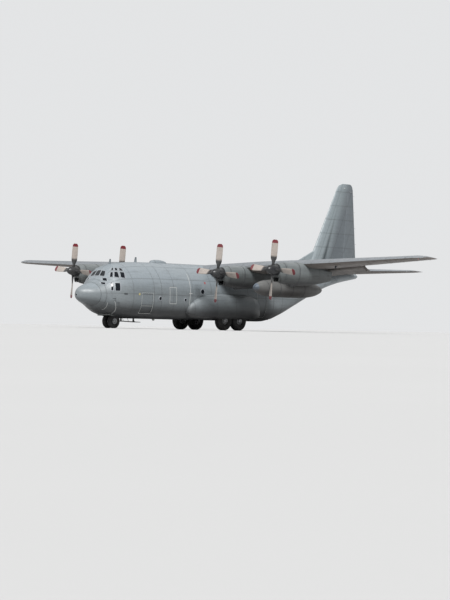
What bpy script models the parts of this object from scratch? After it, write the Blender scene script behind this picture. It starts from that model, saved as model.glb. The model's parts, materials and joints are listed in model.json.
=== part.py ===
"""Four-engine, high-wing military transport aeroplane on its landing gear, as a 1:2 scale model.

Sizes are the full-size aeroplane's, in metres, and SCALE turns them into the model's.
A place is (x, station, height): x to the left wing tip, station aft from the nose, height
above the ground. In the model +X is the left wing, +Y the tail and +Z up, and the origin is
on the ground under the middle of the aeroplane's box.
"""

import math

import bmesh
import bpy
from mathutils import Matrix, Vector

SCALE = 0.5
LENGTH = 29.79
MID_STATION = LENGTH / 2

SEAT = 0.0006        # between two pieces that rest on each other
RUNNING = 0.012      # between a moving piece and its neighbours
WALL = 0.12          # fuselage skin, frames and lining

# Fuselage
RADOME_JOINT = 1.25
NOSE_JOINT = 6.10
AFT_JOINT = 17.70
CONE_JOINT = 23.60
FLOOR_TOP = 1.03
FLOOR_DEPTH = 0.13
DECK_TOP = 2.05
DECK_DEPTH = 0.08
RING_POINTS = 24

# station, top, bottom, half width, height of the widest line, power of the lower curve
FUSELAGE = (
    (0.00, 2.28, 2.24, 0.03, 2.26, 2.0),
    (0.08, 2.56, 2.02, 0.20, 2.26, 2.0),
    (0.30, 2.76, 1.86, 0.47, 2.27, 2.0),
    (0.70, 2.94, 1.70, 0.83, 2.28, 2.1),
    (1.25, 3.14, 1.50, 1.17, 2.30, 2.2),
    (1.75, 3.50, 1.29, 1.46, 2.34, 2.4),
    (2.15, 4.00, 1.13, 1.73, 2.40, 2.6),
    (2.60, 4.33, 0.96, 1.92, 2.43, 2.8),
    (3.30, 4.52, 0.80, 2.05, 2.48, 3.0),
    (4.30, 4.63, 0.70, 2.12, 2.49, 3.2),
    (6.10, 4.70, 0.70, 2.16, 2.49, 3.4),
    (17.70, 4.70, 0.70, 2.16, 2.49, 3.4),
    (19.00, 4.70, 1.08, 2.12, 2.62, 3.3),
    (20.60, 4.71, 1.74, 2.00, 2.95, 3.0),
    (22.20, 4.74, 2.38, 1.78, 3.32, 2.7),
    (23.60, 4.76, 2.90, 1.52, 3.64, 2.4),
    (25.60, 4.80, 3.50, 1.08, 4.05, 2.2),
    (27.40, 4.80, 3.90, 0.70, 4.32, 2.0),
    (28.80, 4.72, 4.14, 0.40, 4.42, 2.0),
    (29.79, 4.56, 4.30, 0.10, 4.43, 2.0),
)

# Wing
WING_HEIGHT = 4.20
DIHEDRAL = math.radians(2.5)
ROOT_CHORD = 4.88
ROOT_LEADING = 11.32
CENTRE_HALF_SPAN = 5.60
TIP_CHORD = 2.54
TIP_LEADING = 11.90
TIP_X = 20.00
SPAN_X = 20.205
ROOT_THICKNESS = 0.18
TIP_THICKNESS = 0.12
ROOT_INCIDENCE = math.radians(3.0)
WING_CAMBER = 0.02
FLAP_CUT = 0.72      # of the chord, where the lower skin ends ahead of a flap
LIP_END = 0.90       # of the chord, where the upper skin ends over a flap
AILERON_START_X = 13.75
AILERON_END_X = 19.55
HINGE_CHORD = 0.76   # of the chord, an aileron's hinge

# Engines
ENGINE_X = (4.94, 10.16)
PROP_STATION = 8.80
HUB_HEIGHT = 4.00
PROP_RADIUS = 2.055
BLADES = 4
PROP_PHASE = 0.06    # of a blade's quarter turn
SPINNER_RADIUS = 0.36

# Tanks
TANK_X = 7.55
TANK_NOSE = 9.70
TANK_LENGTH = 7.20
TANK_RADIUS = 0.62
TANK_HEIGHT = 3.02

# Tail
STABILISER_HEIGHT = 4.72
STABILISER_HALF_SPAN = 8.025
FIN_TOP = 11.66

# Gear
NOSE_AXLE = (3.30, 0.495)
NOSE_TYRE = (0.495, 0.29)
NOSE_TYRE_X = 0.275
MAIN_TYRE = (0.71, 0.50)
MAIN_X = 2.175
MAIN_AXLES = (12.32, 13.84)


# Basic shapes

def place(x, station, height):
    return Vector((x * SCALE, (station - MID_STATION) * SCALE, height * SCALE))


def clear_scene():
    for item in list(bpy.data.objects):
        bpy.data.objects.remove(item)


def make_material(name, color, roughness, metallic=0.0):
    material = bpy.data.materials.new(name)
    material.use_nodes = True
    shader = material.node_tree.nodes["Principled BSDF"]
    shader.inputs["Base Color"].default_value = (*color, 1.0)
    shader.inputs["Roughness"].default_value = roughness
    shader.inputs["Metallic"].default_value = metallic
    material.diffuse_color = (*color, 1.0)
    return material


def new_object(name, points, faces, material=None, origin=None):
    """A closed mesh from full-size places, its faces turned outwards."""
    origin = Vector(origin) if origin is not None else Vector((0, 0, 0))
    mesh = bpy.data.meshes.new(name)
    mesh.from_pydata([place(*p) - origin for p in points], [], faces)
    work = bmesh.new()
    work.from_mesh(mesh)
    bmesh.ops.recalc_face_normals(work, faces=work.faces)
    bmesh.ops.triangulate(work, faces=[f for f in work.faces if len(f.verts) > 3])
    if work.calc_volume(signed=True) < 0:
        bmesh.ops.reverse_faces(work, faces=work.faces)
    work.to_mesh(mesh)
    work.free()
    item = bpy.data.objects.new(name, mesh)
    bpy.context.scene.collection.objects.link(item)
    item.location = origin
    if material:
        mesh.materials.append(material)
    return item


def helper(item):
    """Keeps a cutter or a shape to be joined out of the model's pieces."""
    item.hide_render = True
    item.display_type = "WIRE"
    return item


def boolean(item, other, operation):
    modifier = item.modifiers.new(f"{operation.title()} {other.name}", "BOOLEAN")
    modifier.operation = operation
    modifier.object = helper(other)
    return item


def cut(item, other):
    return boolean(item, other, "DIFFERENCE")


def join(item, other):
    return boolean(item, other, "UNION")


def keep_inside(item, other):
    return boolean(item, other, "INTERSECT")


def apply_modifiers(item):
    """Makes the evaluated shape the object's own mesh."""
    bpy.context.view_layer.update()
    graph = bpy.context.evaluated_depsgraph_get()
    shaped = bpy.data.meshes.new_from_object(item.evaluated_get(graph))
    item.modifiers.clear()
    item.data = shaped


def move_origin(item, spot):
    """Puts the object's origin at a full-size place, without moving its shape."""
    origin = place(*spot)
    item.data.transform(Matrix.Translation(item.location - origin))
    item.location = origin


def join_now(item, other):
    join(item, other)
    apply_modifiers(item)
    bpy.data.objects.remove(other)
    return item


def loft_faces(count, size, closed_loop=False):
    """Quads between rings of the same size, capped at both ends unless the rings close up."""
    faces = []
    last = count if closed_loop else count - 1
    for row in range(last):
        upper = (row + 1) % count
        for i in range(size):
            j = (i + 1) % size
            faces.append((row * size + i, row * size + j, upper * size + j, upper * size + i))
    if not closed_loop:
        faces.append(tuple(range(size)))
        faces.append(tuple((count - 1) * size + i for i in range(size)))
    return faces


def loft(name, rings, material=None, closed_loop=False, origin=None):
    points = [p for ring in rings for p in ring]
    return new_object(name, points, loft_faces(len(rings), len(rings[0]), closed_loop),
                      material, origin)


def box(name, x, station, height, material=None, origin=None):
    """A box from three (low, high) pairs."""
    ring = ((0, 0), (1, 0), (1, 1), (0, 1))
    rings = [[(x[i], s, height[j]) for i, j in ring] for s in station]
    return loft(name, rings, material, origin=origin)


def prism(name, outline, low, high, axis, material=None, origin=None):
    """An outline pushed along one axis. The outline's pairs are the other two, in order."""
    def full(pair, along):
        values = list(pair)
        values.insert(axis, along)
        return tuple(values)
    rings = [[full(pair, along) for pair in outline] for along in (low, high)]
    return loft(name, rings, material, origin=origin)


def turned(name, profile, centre, axis, material=None, segments=24, origin=None, phase=0.0):
    """A profile of (distance along the axis, radius) turned about a line through centre."""
    axis = Vector(axis).normalized()
    side = axis.orthogonal().normalized()
    if abs(axis.z) < 0.9:
        side = (Vector((0, 0, -1)) - axis * axis.dot(Vector((0, 0, -1)))).normalized()
    up = axis.cross(side)
    rings = []
    for along, radius in profile:
        rings.append([
            tuple(Vector(centre) + axis * along
                  + (side * math.cos(a) + up * math.sin(a)) * radius)
            for a in (2 * math.pi * (i + phase) / segments for i in range(segments))
        ])
    return loft(name, rings, material, origin=origin)


# Fuselage

def section_at(station):
    """Top, bottom, half width, widest height and lower power at a station."""
    for low, high in zip(FUSELAGE, FUSELAGE[1:]):
        if station <= high[0]:
            share = (station - low[0]) / (high[0] - low[0])
            return [a + (b - a) * share for a, b in zip(low[1:], high[1:])]
    return list(FUSELAGE[-1][1:])


def fuselage_ring(station, inset=0.0):
    top, bottom, half, widest, power = section_at(station)
    ring = []
    for i in range(RING_POINTS):
        angle = 2 * math.pi * i / RING_POINTS
        sine, cosine = math.sin(angle), math.cos(angle)
        if cosine >= -1e-9:
            x = (half - inset) * sine
            height = widest + (top - inset - widest) * cosine
        else:
            x = (half - inset) * math.copysign(abs(sine) ** (2 / power), sine)
            height = widest - (widest - bottom - inset) * abs(cosine) ** (2 / power)
        ring.append((x, station, height))
    return ring


def skin_x(station, height, inset=0.0):
    """Half width of the fuselage at a height."""
    top, bottom, half, widest, power = section_at(station)
    if height >= widest:
        share = (height - widest) / (top - inset - widest)
        return (half - inset) * math.sqrt(max(0.0, 1 - share ** 2))
    share = (widest - height) / (widest - bottom - inset)
    return (half - inset) * max(0.0, 1 - share ** power) ** (1 / power)


def stations(start, end):
    return [start] + [row[0] for row in FUSELAGE if start < row[0] < end] + [end]


def fuselage_solid(name, start, end, inset=0.0, material=None):
    return loft(name, [fuselage_ring(s, inset) for s in stations(start, end)], material)


def fuselage_shell(name, start, end, material=None, outer=0.0, inner=WALL):
    """A stretch of skin, open at both ends."""
    rings = [fuselage_ring(s, outer) for s in stations(start, end)]
    rings += [fuselage_ring(s, inner) for s in reversed(stations(start, end))]
    return loft(name, rings, material, closed_loop=True)


def fuselage_cup(name, open_end, closed_end, inner_end, material, inner=WALL):
    """A stretch of skin with a wall at one end."""
    forward = closed_end < open_end
    outside = stations(min(open_end, closed_end), max(open_end, closed_end))
    inside = stations(min(open_end, inner_end), max(open_end, inner_end))
    if not forward:
        outside.reverse()
        inside.reverse()
    rings = [fuselage_ring(s) for s in outside]
    rings += [fuselage_ring(s, inner) for s in reversed(inside)]
    return loft(name, rings, material)


# Flight deck panes: outlines of (station, height) cut from the side, for the left side
SIDE_PANES = (
    (0.74, ((2.06, 3.53), (2.20, 3.53), (2.39, 3.87), (2.28, 3.87))),
    (0.90, ((2.27, 3.54), (2.55, 3.50), (2.66, 3.90), (2.47, 3.90))),
    (0.90, ((2.66, 3.53), (2.95, 3.47), (3.09, 3.87), (2.80, 3.90))),
    (0.50, ((2.40, 4.01), (2.50, 4.00), (2.66, 4.18), (2.57, 4.18))),
    (0.60, ((2.58, 4.00), (2.76, 4.00), (2.85, 4.17), (2.73, 4.18))),
    (0.70, ((2.85, 4.00), (3.09, 3.97), (3.13, 4.15), (2.98, 4.17))),
    (0.30, ((1.70, 3.28), (1.85, 3.24), (1.93, 3.45), (1.80, 3.45))),
    (0.45, ((1.48, 3.05), (1.66, 2.98), (1.73, 3.13), (1.55, 3.16))),
    (1.10, ((1.86, 2.60), (1.98, 2.60), (2.07, 3.14), (1.94, 3.14))),
    (1.30, ((2.10, 2.58), (2.42, 2.58), (2.47, 3.12), (2.16, 3.12))),
)
# The same, outlines of (x, height) cut from the front
FRONT_PANES = (
    ((-0.22, 3.62), (0.22, 3.62), (0.18, 4.00), (-0.18, 4.00)),
    ((0.29, 3.62), (0.72, 3.58), (0.58, 3.92), (0.25, 3.99)),
    ((-0.29, 3.62), (-0.25, 3.99), (-0.58, 3.92), (-0.72, 3.58)),
)
PANE_FRONT = (1.50, 2.44)
PANE_OUT = 2.40


def shrunk(outline, gap):
    """An outline moved in by a gap, as its edges' lines moved and met again."""
    count = len(outline)
    area = sum(a[0] * b[1] - b[0] * a[1] for a, b in zip(outline, outline[1:] + outline[:1]))
    turn = 1 if area > 0 else -1
    moved = []
    for i in range(count):
        before, here, after = (Vector(outline[(i + k) % count]) for k in (-1, 0, 1))
        first = (here - before).normalized()
        second = (after - here).normalized()
        inward_a = Vector((-first.y, first.x)) * turn
        inward_b = Vector((-second.y, second.x)) * turn
        middle = (inward_a + inward_b).normalized()
        moved.append(tuple(here + middle * gap / max(0.3, middle.dot(inward_a))))
    return moved


def merged(name, items, material=None):
    """One mesh from several that don't touch."""
    work = bmesh.new()
    for item in items:
        item.data.transform(item.matrix_basis)
        work.from_mesh(item.data)
        bpy.data.objects.remove(item)
    mesh = bpy.data.meshes.new(name)
    work.to_mesh(mesh)
    work.free()
    result = bpy.data.objects.new(name, mesh)
    bpy.context.scene.collection.objects.link(result)
    if material:
        mesh.materials.append(material)
    return result


def pane_blocks(name, gap):
    """Blocks through the skin at each pane, drawn in by a gap."""
    blocks = []
    for inner, outline in SIDE_PANES:
        low, high = inner, PANE_OUT
        blocks.append(prism("pane", shrunk(outline, gap), low, high, 0))
        blocks.append(prism("pane", shrunk(outline, gap), -high, -low, 0))
    for outline in FRONT_PANES:
        flat = [(x, z) for x, z in shrunk(outline, gap)]
        blocks.append(prism("pane", flat, *PANE_FRONT, 1))
    return helper(merged(name, blocks))


# Aerofoil surfaces

CHORD_SHARES = (1.0, 0.86, 0.70, 0.50, 0.30, 0.15, 0.06, 0.015)
BLUNT = 0.002


def half_thickness(share, thickness):
    poly = (0.2969 * math.sqrt(share) - 0.1260 * share - 0.3516 * share ** 2
            + 0.2843 * share ** 3 - 0.1036 * share ** 4)
    return 5 * thickness * poly + BLUNT * share


class Aerofoil:
    """A wing-like surface: rows of (span, leading station, chord, thickness share)."""

    def __init__(self, rows, height, camber=0.0, dihedral=0.0, incidence=0.0, side=1,
                 upright=False):
        self.rows = rows
        self.height = height
        self.camber = camber
        self.slope = math.tan(dihedral)
        self.incidence = incidence
        self.side = side
        self.upright = upright

    def at(self, span):
        for low, high in zip(self.rows, self.rows[1:]):
            if span <= high[0]:
                break
        share = (span - low[0]) / (high[0] - low[0])
        return [a + (b - a) * share for a, b in zip(low[1:], high[1:])]

    def point(self, span, share, offset=0.0):
        """A place at a share of the chord, offset square to the chord's plane."""
        leading, chord, _ = self.at(span)
        station = leading + share * chord
        if self.upright:
            return (offset * self.side, station, span)
        twist = self.incidence * max(0.0, 1 - span / self.rows[-1][0])
        drop = (share - 0.3) * chord * math.tan(twist)
        return (self.side * span, station, self.height + span * self.slope - drop + offset)

    def half(self, span, share):
        leading, chord, thickness = self.at(span)
        return half_thickness(share, thickness) * chord

    def middle(self, span, share):
        return 4 * self.camber * share * (1 - share) * self.at(span)[1]

    def surface(self, span, share, up, extra=0.0):
        offset = self.middle(span, share) + up * (self.half(span, share) + extra)
        return self.point(span, share, offset)

    def ring(self, span, grow=0.0):
        chord = self.at(span)[1]
        step = grow / chord
        upper = [self.surface(span, min(1.0, s) + (step if s == 1.0 else 0), 1, grow)
                 for s in CHORD_SHARES]
        nose = [self.point(span, -step)]
        lower = [self.surface(span, s + (step if s == 1.0 else 0), -1, grow)
                 for s in reversed(CHORD_SHARES)]
        return upper + nose + lower

    def solid(self, name, spans, material=None, grow=0.0):
        return loft(name, [self.ring(span, grow) for span in spans], material)

    def block(self, name, spans, corners, material=None, origin=None):
        """A loft through corners of (chord share, up or down, extra beyond the skin)."""
        rings = [[self.surface(span, share, up, extra) for share, up, extra in corners]
                 for span in spans]
        return loft(name, rings, material, origin=origin)

    def trailing_cutter(self, name, spans, hinge):
        """What a control surface takes out of the part ahead of it."""
        rings = []
        for span in spans:
            chord = self.at(span)[1]
            front = hinge - (self.half(span, hinge) + RUNNING) / chord
            rings.append([self.point(span, front, 1.0), self.point(span, 1.3, 1.0),
                          self.point(span, 1.3, -1.0), self.point(span, front, -1.0)])
        return loft(name, rings)

    def control(self, name, spans, hinge, material, ends):
        """A surface with a round nose about its hinge, and a pin at each end."""
        middle_span = sum(spans) / 2
        origin = place(*self.point(middle_span, hinge, self.middle(middle_span, hinge)))
        rings = []
        for span in spans:
            chord = self.at(span)[1]
            radius = self.half(span, hinge) - 0.002
            middle = self.middle(span, hinge)
            nose = [
                self.point(span, hinge - radius * math.cos(a) / chord,
                           middle + radius * math.sin(a))
                for a in (math.radians(d) for d in (-90, -60, -30, 0, 30, 60, 90))
            ]
            rings.append(nose + [self.surface(span, 0.86, 1), self.surface(span, 1.0, 1),
                                 self.surface(span, 1.0, -1), self.surface(span, 0.86, -1)])
        item = loft(name, rings, material, origin=origin)
        low, high = (Vector(self.point(s, hinge, self.middle(s, hinge))) for s in spans)
        along = (high - low).normalized()
        radius = min(0.03, 0.5 * self.half(spans[1], hinge))
        square = Vector((0, 0, 1)) if self.upright else Vector((1, 0, 0))
        facing = abs(along.dot(square))
        back = SEAT + radius * math.sqrt(1 - facing ** 2)
        reach = [(gap - back) / facing for gap in (spans[0] - ends[0], ends[1] - spans[1])]
        for pin, start, stop in (("inner", low - along * reach[0], low + along * 0.1),
                                 ("outer", high - along * 0.1, high + along * reach[1])):
            length = (stop - start).length
            join(item, turned(f"{name}_{pin}_pin", ((0, radius), (length, radius)), start, along,
                              segments=10))
        return item


def wing_of(side):
    rows = (
        (0.0, ROOT_LEADING, ROOT_CHORD, ROOT_THICKNESS),
        (CENTRE_HALF_SPAN, ROOT_LEADING, ROOT_CHORD, ROOT_THICKNESS),
        (TIP_X - 0.25, TIP_LEADING, TIP_CHORD, TIP_THICKNESS),
        (TIP_X + 0.05, TIP_LEADING + 0.16, TIP_CHORD - 0.30, 0.10),
        (SPAN_X, TIP_LEADING + 0.60, TIP_CHORD - 1.00, 0.05),
    )
    return Aerofoil(rows, WING_HEIGHT, WING_CAMBER, DIHEDRAL, ROOT_INCIDENCE, side)


# Flaps: each carried on two curved tracks, ahead of a virtual hinge below the wing
FLAPS = (
    # name, inner end, outer end
    ("inner", 2.42, 5.33),
    ("outer", 5.87, 13.27),
)
TRACK_GAP = 0.07
TRACK_WIDTH = 0.07
PIN_SHARE = 0.755
PIN_RADIUS = 0.045
TRACK_RADIUS = 1.00
TRACK_DEPTH = 0.09
ROLLER_ANGLE = math.radians(76)     # from aft, about the hinge, with the flap in
TRACK_START = 90     # degrees, in the same way
TRACK_END = 34
TRACK_STEPS = 10
FLAP_DOWN = math.radians(20)
LIP_DEPTH = 0.045


def roller_spot(wing, span):
    return Vector(wing.point(span, PIN_SHARE, wing.middle(span, PIN_SHARE) - 0.02))


def flap_frame(wing, inner, outer):
    """The hinge line's middle, and its directions to the left, upwards and aft."""
    low, high = roller_spot(wing, inner), roller_spot(wing, outer)
    left = (high - low).normalized() * wing.side
    up = (Vector((0, 0, 1)) - left * left.z).normalized()
    aft = up.cross(left)
    back = (aft * math.cos(ROLLER_ANGLE) + up * math.sin(ROLLER_ANGLE)) * TRACK_RADIUS
    return (low + high) / 2 - back, left, up, aft


def flap_ring(wing, span):
    chord = wing.at(span)[1]
    nose_half = wing.half(span, 0.76) - 0.02
    middle = wing.middle(span, 0.76) - 0.02
    depth = LIP_DEPTH + 2 * RUNNING

    def under(share):
        return wing.point(span, share, wing.middle(span, share) + wing.half(span, share) - depth)

    return [
        wing.surface(span, 0.79, -1),
        wing.point(span, 0.75, middle - 0.8 * nose_half),
        wing.point(span, 0.737, middle),
        wing.point(span, 0.745, middle + 0.45 * nose_half),
        under(0.80),
        under(0.885),
        wing.point(span, 0.94, wing.middle(span, 0.94) + 0.25 * wing.half(span, 0.94)),
        wing.surface(span, 1.0, 1),
        wing.surface(span, 1.0, -1),
    ]


def make_flap(wing, name, inner, outer, material):
    origin, left, _, _ = flap_frame(wing, inner, outer)
    item = loft(name, [flap_ring(wing, s) for s in (inner, outer)], material,
                origin=place(*origin))
    for end, span, away in (("inner", inner, -1), ("outer", outer, 1)):
        along = left * wing.side * away
        start = roller_spot(wing, span) - along * 0.12
        reach = 0.12 + TRACK_GAP + TRACK_WIDTH
        join_now(item, turned(f"{name}_{end}_roller", ((0, PIN_RADIUS), (reach, PIN_RADIUS)),
                              start, along, segments=12, phase=0.5))
    item.data.transform(Matrix.Rotation(-FLAP_DOWN, 4, left))
    return item


def flap_tracks(wing, name, inner, outer):
    """Curved rails on the wing, beside the flap's ends."""
    _, left, up, aft = flap_frame(wing, inner, outer)
    rails = []
    reach = TRACK_RADIUS - PIN_RADIUS - SEAT
    angles = [math.radians(TRACK_START - (TRACK_START - TRACK_END) * k / TRACK_STEPS)
              for k in range(TRACK_STEPS + 1)]
    edge = [(reach, a) for a in angles] + [(reach - TRACK_DEPTH, a) for a in reversed(angles)]
    for end, span, away in (("inner", inner, -1), ("outer", outer, 1)):
        along = left * wing.side * away
        back = (aft * math.cos(ROLLER_ANGLE) + up * math.sin(ROLLER_ANGLE)) * TRACK_RADIUS
        centre = roller_spot(wing, span) - back
        rings = []
        for distance in (TRACK_GAP, TRACK_GAP + TRACK_WIDTH):
            start = centre + along * distance
            rings.append([tuple(start + (aft * math.cos(a) + up * math.sin(a)) * r)
                          for r, a in edge])
        rails.append(loft(f"{name}_{end}_track", rings))
    return rails


# Fuselage pieces

DOOR_STATIONS = (4.28, 5.24)
DOOR_HEIGHTS = (1.12, 2.44)
PARATROOP_STATIONS = (15.98, 16.90)
PARATROOP_HEIGHTS = (1.06, 2.88)
RAMP_HINGE = (17.87, 0.86)
RAMP_FRONT = 17.82
RAMP_REAR = 20.85
RAMP_HALF_WIDTH = 1.42
RAMP_SLOPE = 0.7     # of the front face below the hinge, so that it clears the belly as it drops
DOOR_HINGE = (23.36, 2.98)
NOSE_WELL = ((-0.64, 0.64), (2.64, 3.96), (0.3, 1.9))
MAIN_WELL = ((1.62, 2.50), (11.45, 14.71), (-0.1, 1.60))
LINER = ((1.56, 2.56), (11.39, 14.77), (0.90, 1.66))

# station, outer x, top, bottom
SPONSON = (
    (8.75, 2.22, 1.62, 1.14),
    (9.00, 2.36, 1.92, 0.96),
    (9.60, 2.56, 2.26, 0.82),
    (10.60, 2.78, 2.54, 0.74),
    (12.00, 2.86, 2.64, 0.72),
    (14.80, 2.86, 2.60, 0.72),
    (15.50, 2.70, 2.40, 0.78),
    (15.90, 2.48, 2.10, 0.92),
)
SPONSON_MIDDLE_X = 1.45
SPONSON_POINTS = 16


def sponson_ring(row):
    station, outer, top, bottom = row
    half = outer - SPONSON_MIDDLE_X
    middle = (top + bottom) / 2
    ring = []
    for i in range(SPONSON_POINTS):
        angle = 2 * math.pi * i / SPONSON_POINTS
        sine, cosine = math.sin(angle), math.cos(angle)
        ring.append((SPONSON_MIDDLE_X + half * math.copysign(abs(sine) ** 0.5, sine), station,
                     middle + (top - middle) * math.copysign(abs(cosine) ** 0.5, cosine)))
    return ring


def mirrored(ring, side):
    return [(side * x, station, height) for x, station, height in ring]


def sided(pair, side):
    return tuple(sorted(side * value for value in pair))


def grown_box(name, pairs, side, amount):
    x, station, height = ((low - amount, high + amount) for low, high in pairs)
    return box(name, sided(x, side), station, height)


def make_fuselage(skins):
    paint, dark = skins["paint"], skins["dark"]
    fuselage_cup("radome", RADOME_JOINT - SEAT, 0.0, 0.12, skins["radome"], inner=0.05)
    nose = fuselage_cup("nose_section", NOSE_JOINT, RADOME_JOINT, RADOME_JOINT + WALL, paint)
    cut(nose, pane_blocks("pane_openings", 0.0))
    cut(nose, box("nose_well", *NOSE_WELL))
    door = [(s, h) for s, h in zip(
        (DOOR_STATIONS[0], DOOR_STATIONS[1], DOOR_STATIONS[1], DOOR_STATIONS[0]),
        (DOOR_HEIGHTS[0], DOOR_HEIGHTS[0], DOOR_HEIGHTS[1], DOOR_HEIGHTS[1]))]
    cut(nose, prism("crew_door_opening", door, 1.2, 2.6, 0))

    centre = fuselage_shell("centre_fuselage", NOSE_JOINT + SEAT, AFT_JOINT, paint)
    for side, name in ((1, "left"), (-1, "right")):
        cut(centre, grown_box(f"well_notch_{name}", LINER, side, SEAT))
        corners = [(s, h) for s, h in zip(
            (PARATROOP_STATIONS[0], PARATROOP_STATIONS[1], PARATROOP_STATIONS[1],
             PARATROOP_STATIONS[0]),
            (PARATROOP_HEIGHTS[0], PARATROOP_HEIGHTS[0], PARATROOP_HEIGHTS[1],
             PARATROOP_HEIGHTS[1]))]
        cut(centre, prism(f"paratroop_opening_{name}", corners, *sided((1.5, 2.6), side), 0))
        panel = fuselage_shell(f"paratroop_door_{name}", 15.8, 17.1, paint, inner=WALL - 0.04)
        keep_inside(panel, prism(f"paratroop_block_{name}", shrunk(corners, SEAT),
                                 *sided((1.5, 2.6), side), 0))

    aft = fuselage_shell("aft_fuselage", AFT_JOINT + SEAT, CONE_JOINT, paint)
    cut(aft, box("ramp_opening", (-RAMP_HALF_WIDTH, RAMP_HALF_WIDTH),
                 (RAMP_FRONT - 0.03, RAMP_REAR + 0.05), (0.3, 3.4)))
    cut(aft, door_block("aft_door_opening", 0.0, RAMP_REAR, 23.40))

    tail = fuselage_cup("tail_cone", CONE_JOINT + SEAT, LENGTH, 27.60, paint, inner=0.10)

    ramp = fuselage_solid("cargo_ramp", 17.72, 21.0, 0.0, dark)
    side = RAMP_HALF_WIDTH - RUNNING
    bend = RAMP_HINGE[1] - 0.03
    outline = [(RAMP_FRONT, FLOOR_TOP), (RAMP_REAR - 0.05, 1.98), (RAMP_REAR, 1.70),
               (RAMP_REAR + 0.03, 0.3), (RAMP_FRONT + (bend - 0.3) * RAMP_SLOPE, 0.3),
               (RAMP_FRONT, bend)]
    keep_inside(ramp, prism("ramp_block", outline, -side, side, 0))
    apply_modifiers(ramp)
    reach = RAMP_HALF_WIDTH - SEAT
    join_now(ramp, turned("ramp_pin", ((-reach, 0.03), (reach, 0.03)), (0, *RAMP_HINGE),
                          (1, 0, 0), segments=10))
    move_origin(ramp, (0, *RAMP_HINGE))
    door = fuselage_shell("aft_cargo_door", 20.7, 23.55, dark)
    keep_inside(door, door_block("aft_door_block", RUNNING, RAMP_REAR + 0.03, 23.40 - RUNNING))
    apply_modifiers(door)
    reach = door_half_width(DOOR_HINGE[0] + 0.035) - 2 * SEAT
    for side in (-1, 1):
        join_now(door, turned("aft_door_pin", ((0.50, 0.035), (reach, 0.035)),
                              (0, *DOOR_HINGE), (side, 0, 0), segments=10))
    move_origin(door, (0, *DOOR_HINGE))

    crew = fuselage_shell("crew_door", 4.1, 5.45, paint)
    outline = [(DOOR_STATIONS[0] + RUNNING, DOOR_HEIGHTS[0] + 0.006),
               (DOOR_STATIONS[1] - RUNNING, DOOR_HEIGHTS[0] + 0.006),
               (DOOR_STATIONS[1] - RUNNING, DOOR_HEIGHTS[1] - RUNNING),
               (DOOR_STATIONS[0] + RUNNING, DOOR_HEIGHTS[1] - RUNNING)]
    keep_inside(crew, prism("crew_door_block", outline, 1.2, 2.6, 0))
    apply_modifiers(crew)
    x, station, height = crew_hinge()
    join_now(crew, turned("crew_door_pin", ((SEAT, 0.018), (0.96 - SEAT, 0.018)),
                          (x - 0.01, DOOR_STATIONS[0], height), (0, 1, 0), segments=10))
    move_origin(crew, (x - 0.01, station, height))
    return centre, tail


def crew_hinge():
    station = sum(DOOR_STATIONS) / 2
    height = DOOR_HEIGHTS[0] + 0.02
    return (skin_x(station, height), station, height)


def door_half_width(station):
    return 1.30 - (station - RAMP_REAR) * 0.215


def door_block(name, gap, front, back):
    """The upper cargo door's outline through the belly, in plan, drawn in by a gap."""
    rings = []
    for station in (front, back):
        half = door_half_width(station) - gap
        rings.append([(-half, station, 0.3), (half, station, 0.3), (half, station, 3.3),
                      (-half, station, 3.3)])
    return loft(name, rings)


def make_inside(skins):
    room = fuselage_solid("cabin_space", RADOME_JOINT + WALL + SEAT, 17.95, WALL + SEAT)
    helper(room)
    outline = [(1.90, DECK_TOP - DECK_DEPTH), (4.20, DECK_TOP - DECK_DEPTH), (4.20, 0.60),
               (4.26, 0.60), (4.26, DECK_TOP - DECK_DEPTH), (6.02, DECK_TOP - DECK_DEPTH),
               (6.02, FLOOR_TOP + SEAT), (6.08, FLOOR_TOP + SEAT), (6.08, 4.9), (6.02, 4.9),
               (6.02, DECK_TOP), (1.90, DECK_TOP)]
    deck = prism("flight_deck_floor", outline, -2.3, 2.3, 0, skins["floor"])
    keep_inside(deck, room)
    cut(deck, box("stairwell", (0.90, 2.4), (4.27, 5.50), (1.5, 2.6)))
    cut(deck, box("bulkhead_door", (0.75, 1.45), (5.8, 6.3), (FLOOR_TOP + 0.08, 3.0)))
    floor = box("cargo_floor", (-2.2, 2.2), (4.2606, 17.774),
                (FLOOR_TOP - FLOOR_DEPTH, FLOOR_TOP), skins["floor"])
    keep_inside(floor, room)

    panel_outline = [(2.12, DECK_TOP + SEAT), (2.50, DECK_TOP + SEAT), (2.58, 2.90),
                     (2.66, 3.22), (2.20, 3.34), (2.12, 3.20)]
    prism("instrument_panel", panel_outline, -1.15, 1.15, 0, skins["dark"])
    chair = [(3.20, DECK_TOP + SEAT), (3.62, DECK_TOP + SEAT), (3.62, 2.42), (3.82, 2.44),
             (3.98, 3.42), (3.86, 3.46), (3.70, 2.60), (3.10, 2.60), (3.10, 2.44), (3.20, 2.42)]
    for name, x in (("pilot_seat", 0.62), ("copilot_seat", -0.62)):
        prism(name, chair, x - 0.26, x + 0.26, 0, skins["seat"])

    glass = fuselage_shell("flight_deck_glazing", RADOME_JOINT + WALL, 3.25, skins["glass"],
                           outer=WALL + SEAT, inner=WALL + 0.03)
    keep_inside(glass, box("glazing_band", (-2.2, 2.2), (1.43, 3.24), (2.44, 4.9)))
    panes = fuselage_shell("panes", 1.40, 3.28, outer=0.02, inner=WALL + 0.02)
    keep_inside(panes, pane_blocks("pane_blocks", SEAT * 2))
    join(glass, panes)


def make_sponsons(skins):
    for side, name in ((1, "left"), (-1, "right")):
        rings = [mirrored(sponson_ring(row), side) for row in SPONSON]
        item = loft(f"sponson_{name}", rings, skins["paint"])
        cut(item, fuselage_solid(f"sponson_seat_{name}", 8.0, 16.6, -SEAT))
        join(item, grown_box(f"well_liner_{name}", LINER, side, 0.0))
        cut(item, box(f"main_well_{name}", sided(MAIN_WELL[0], side), *MAIN_WELL[1:]))


# Wing pieces

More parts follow.
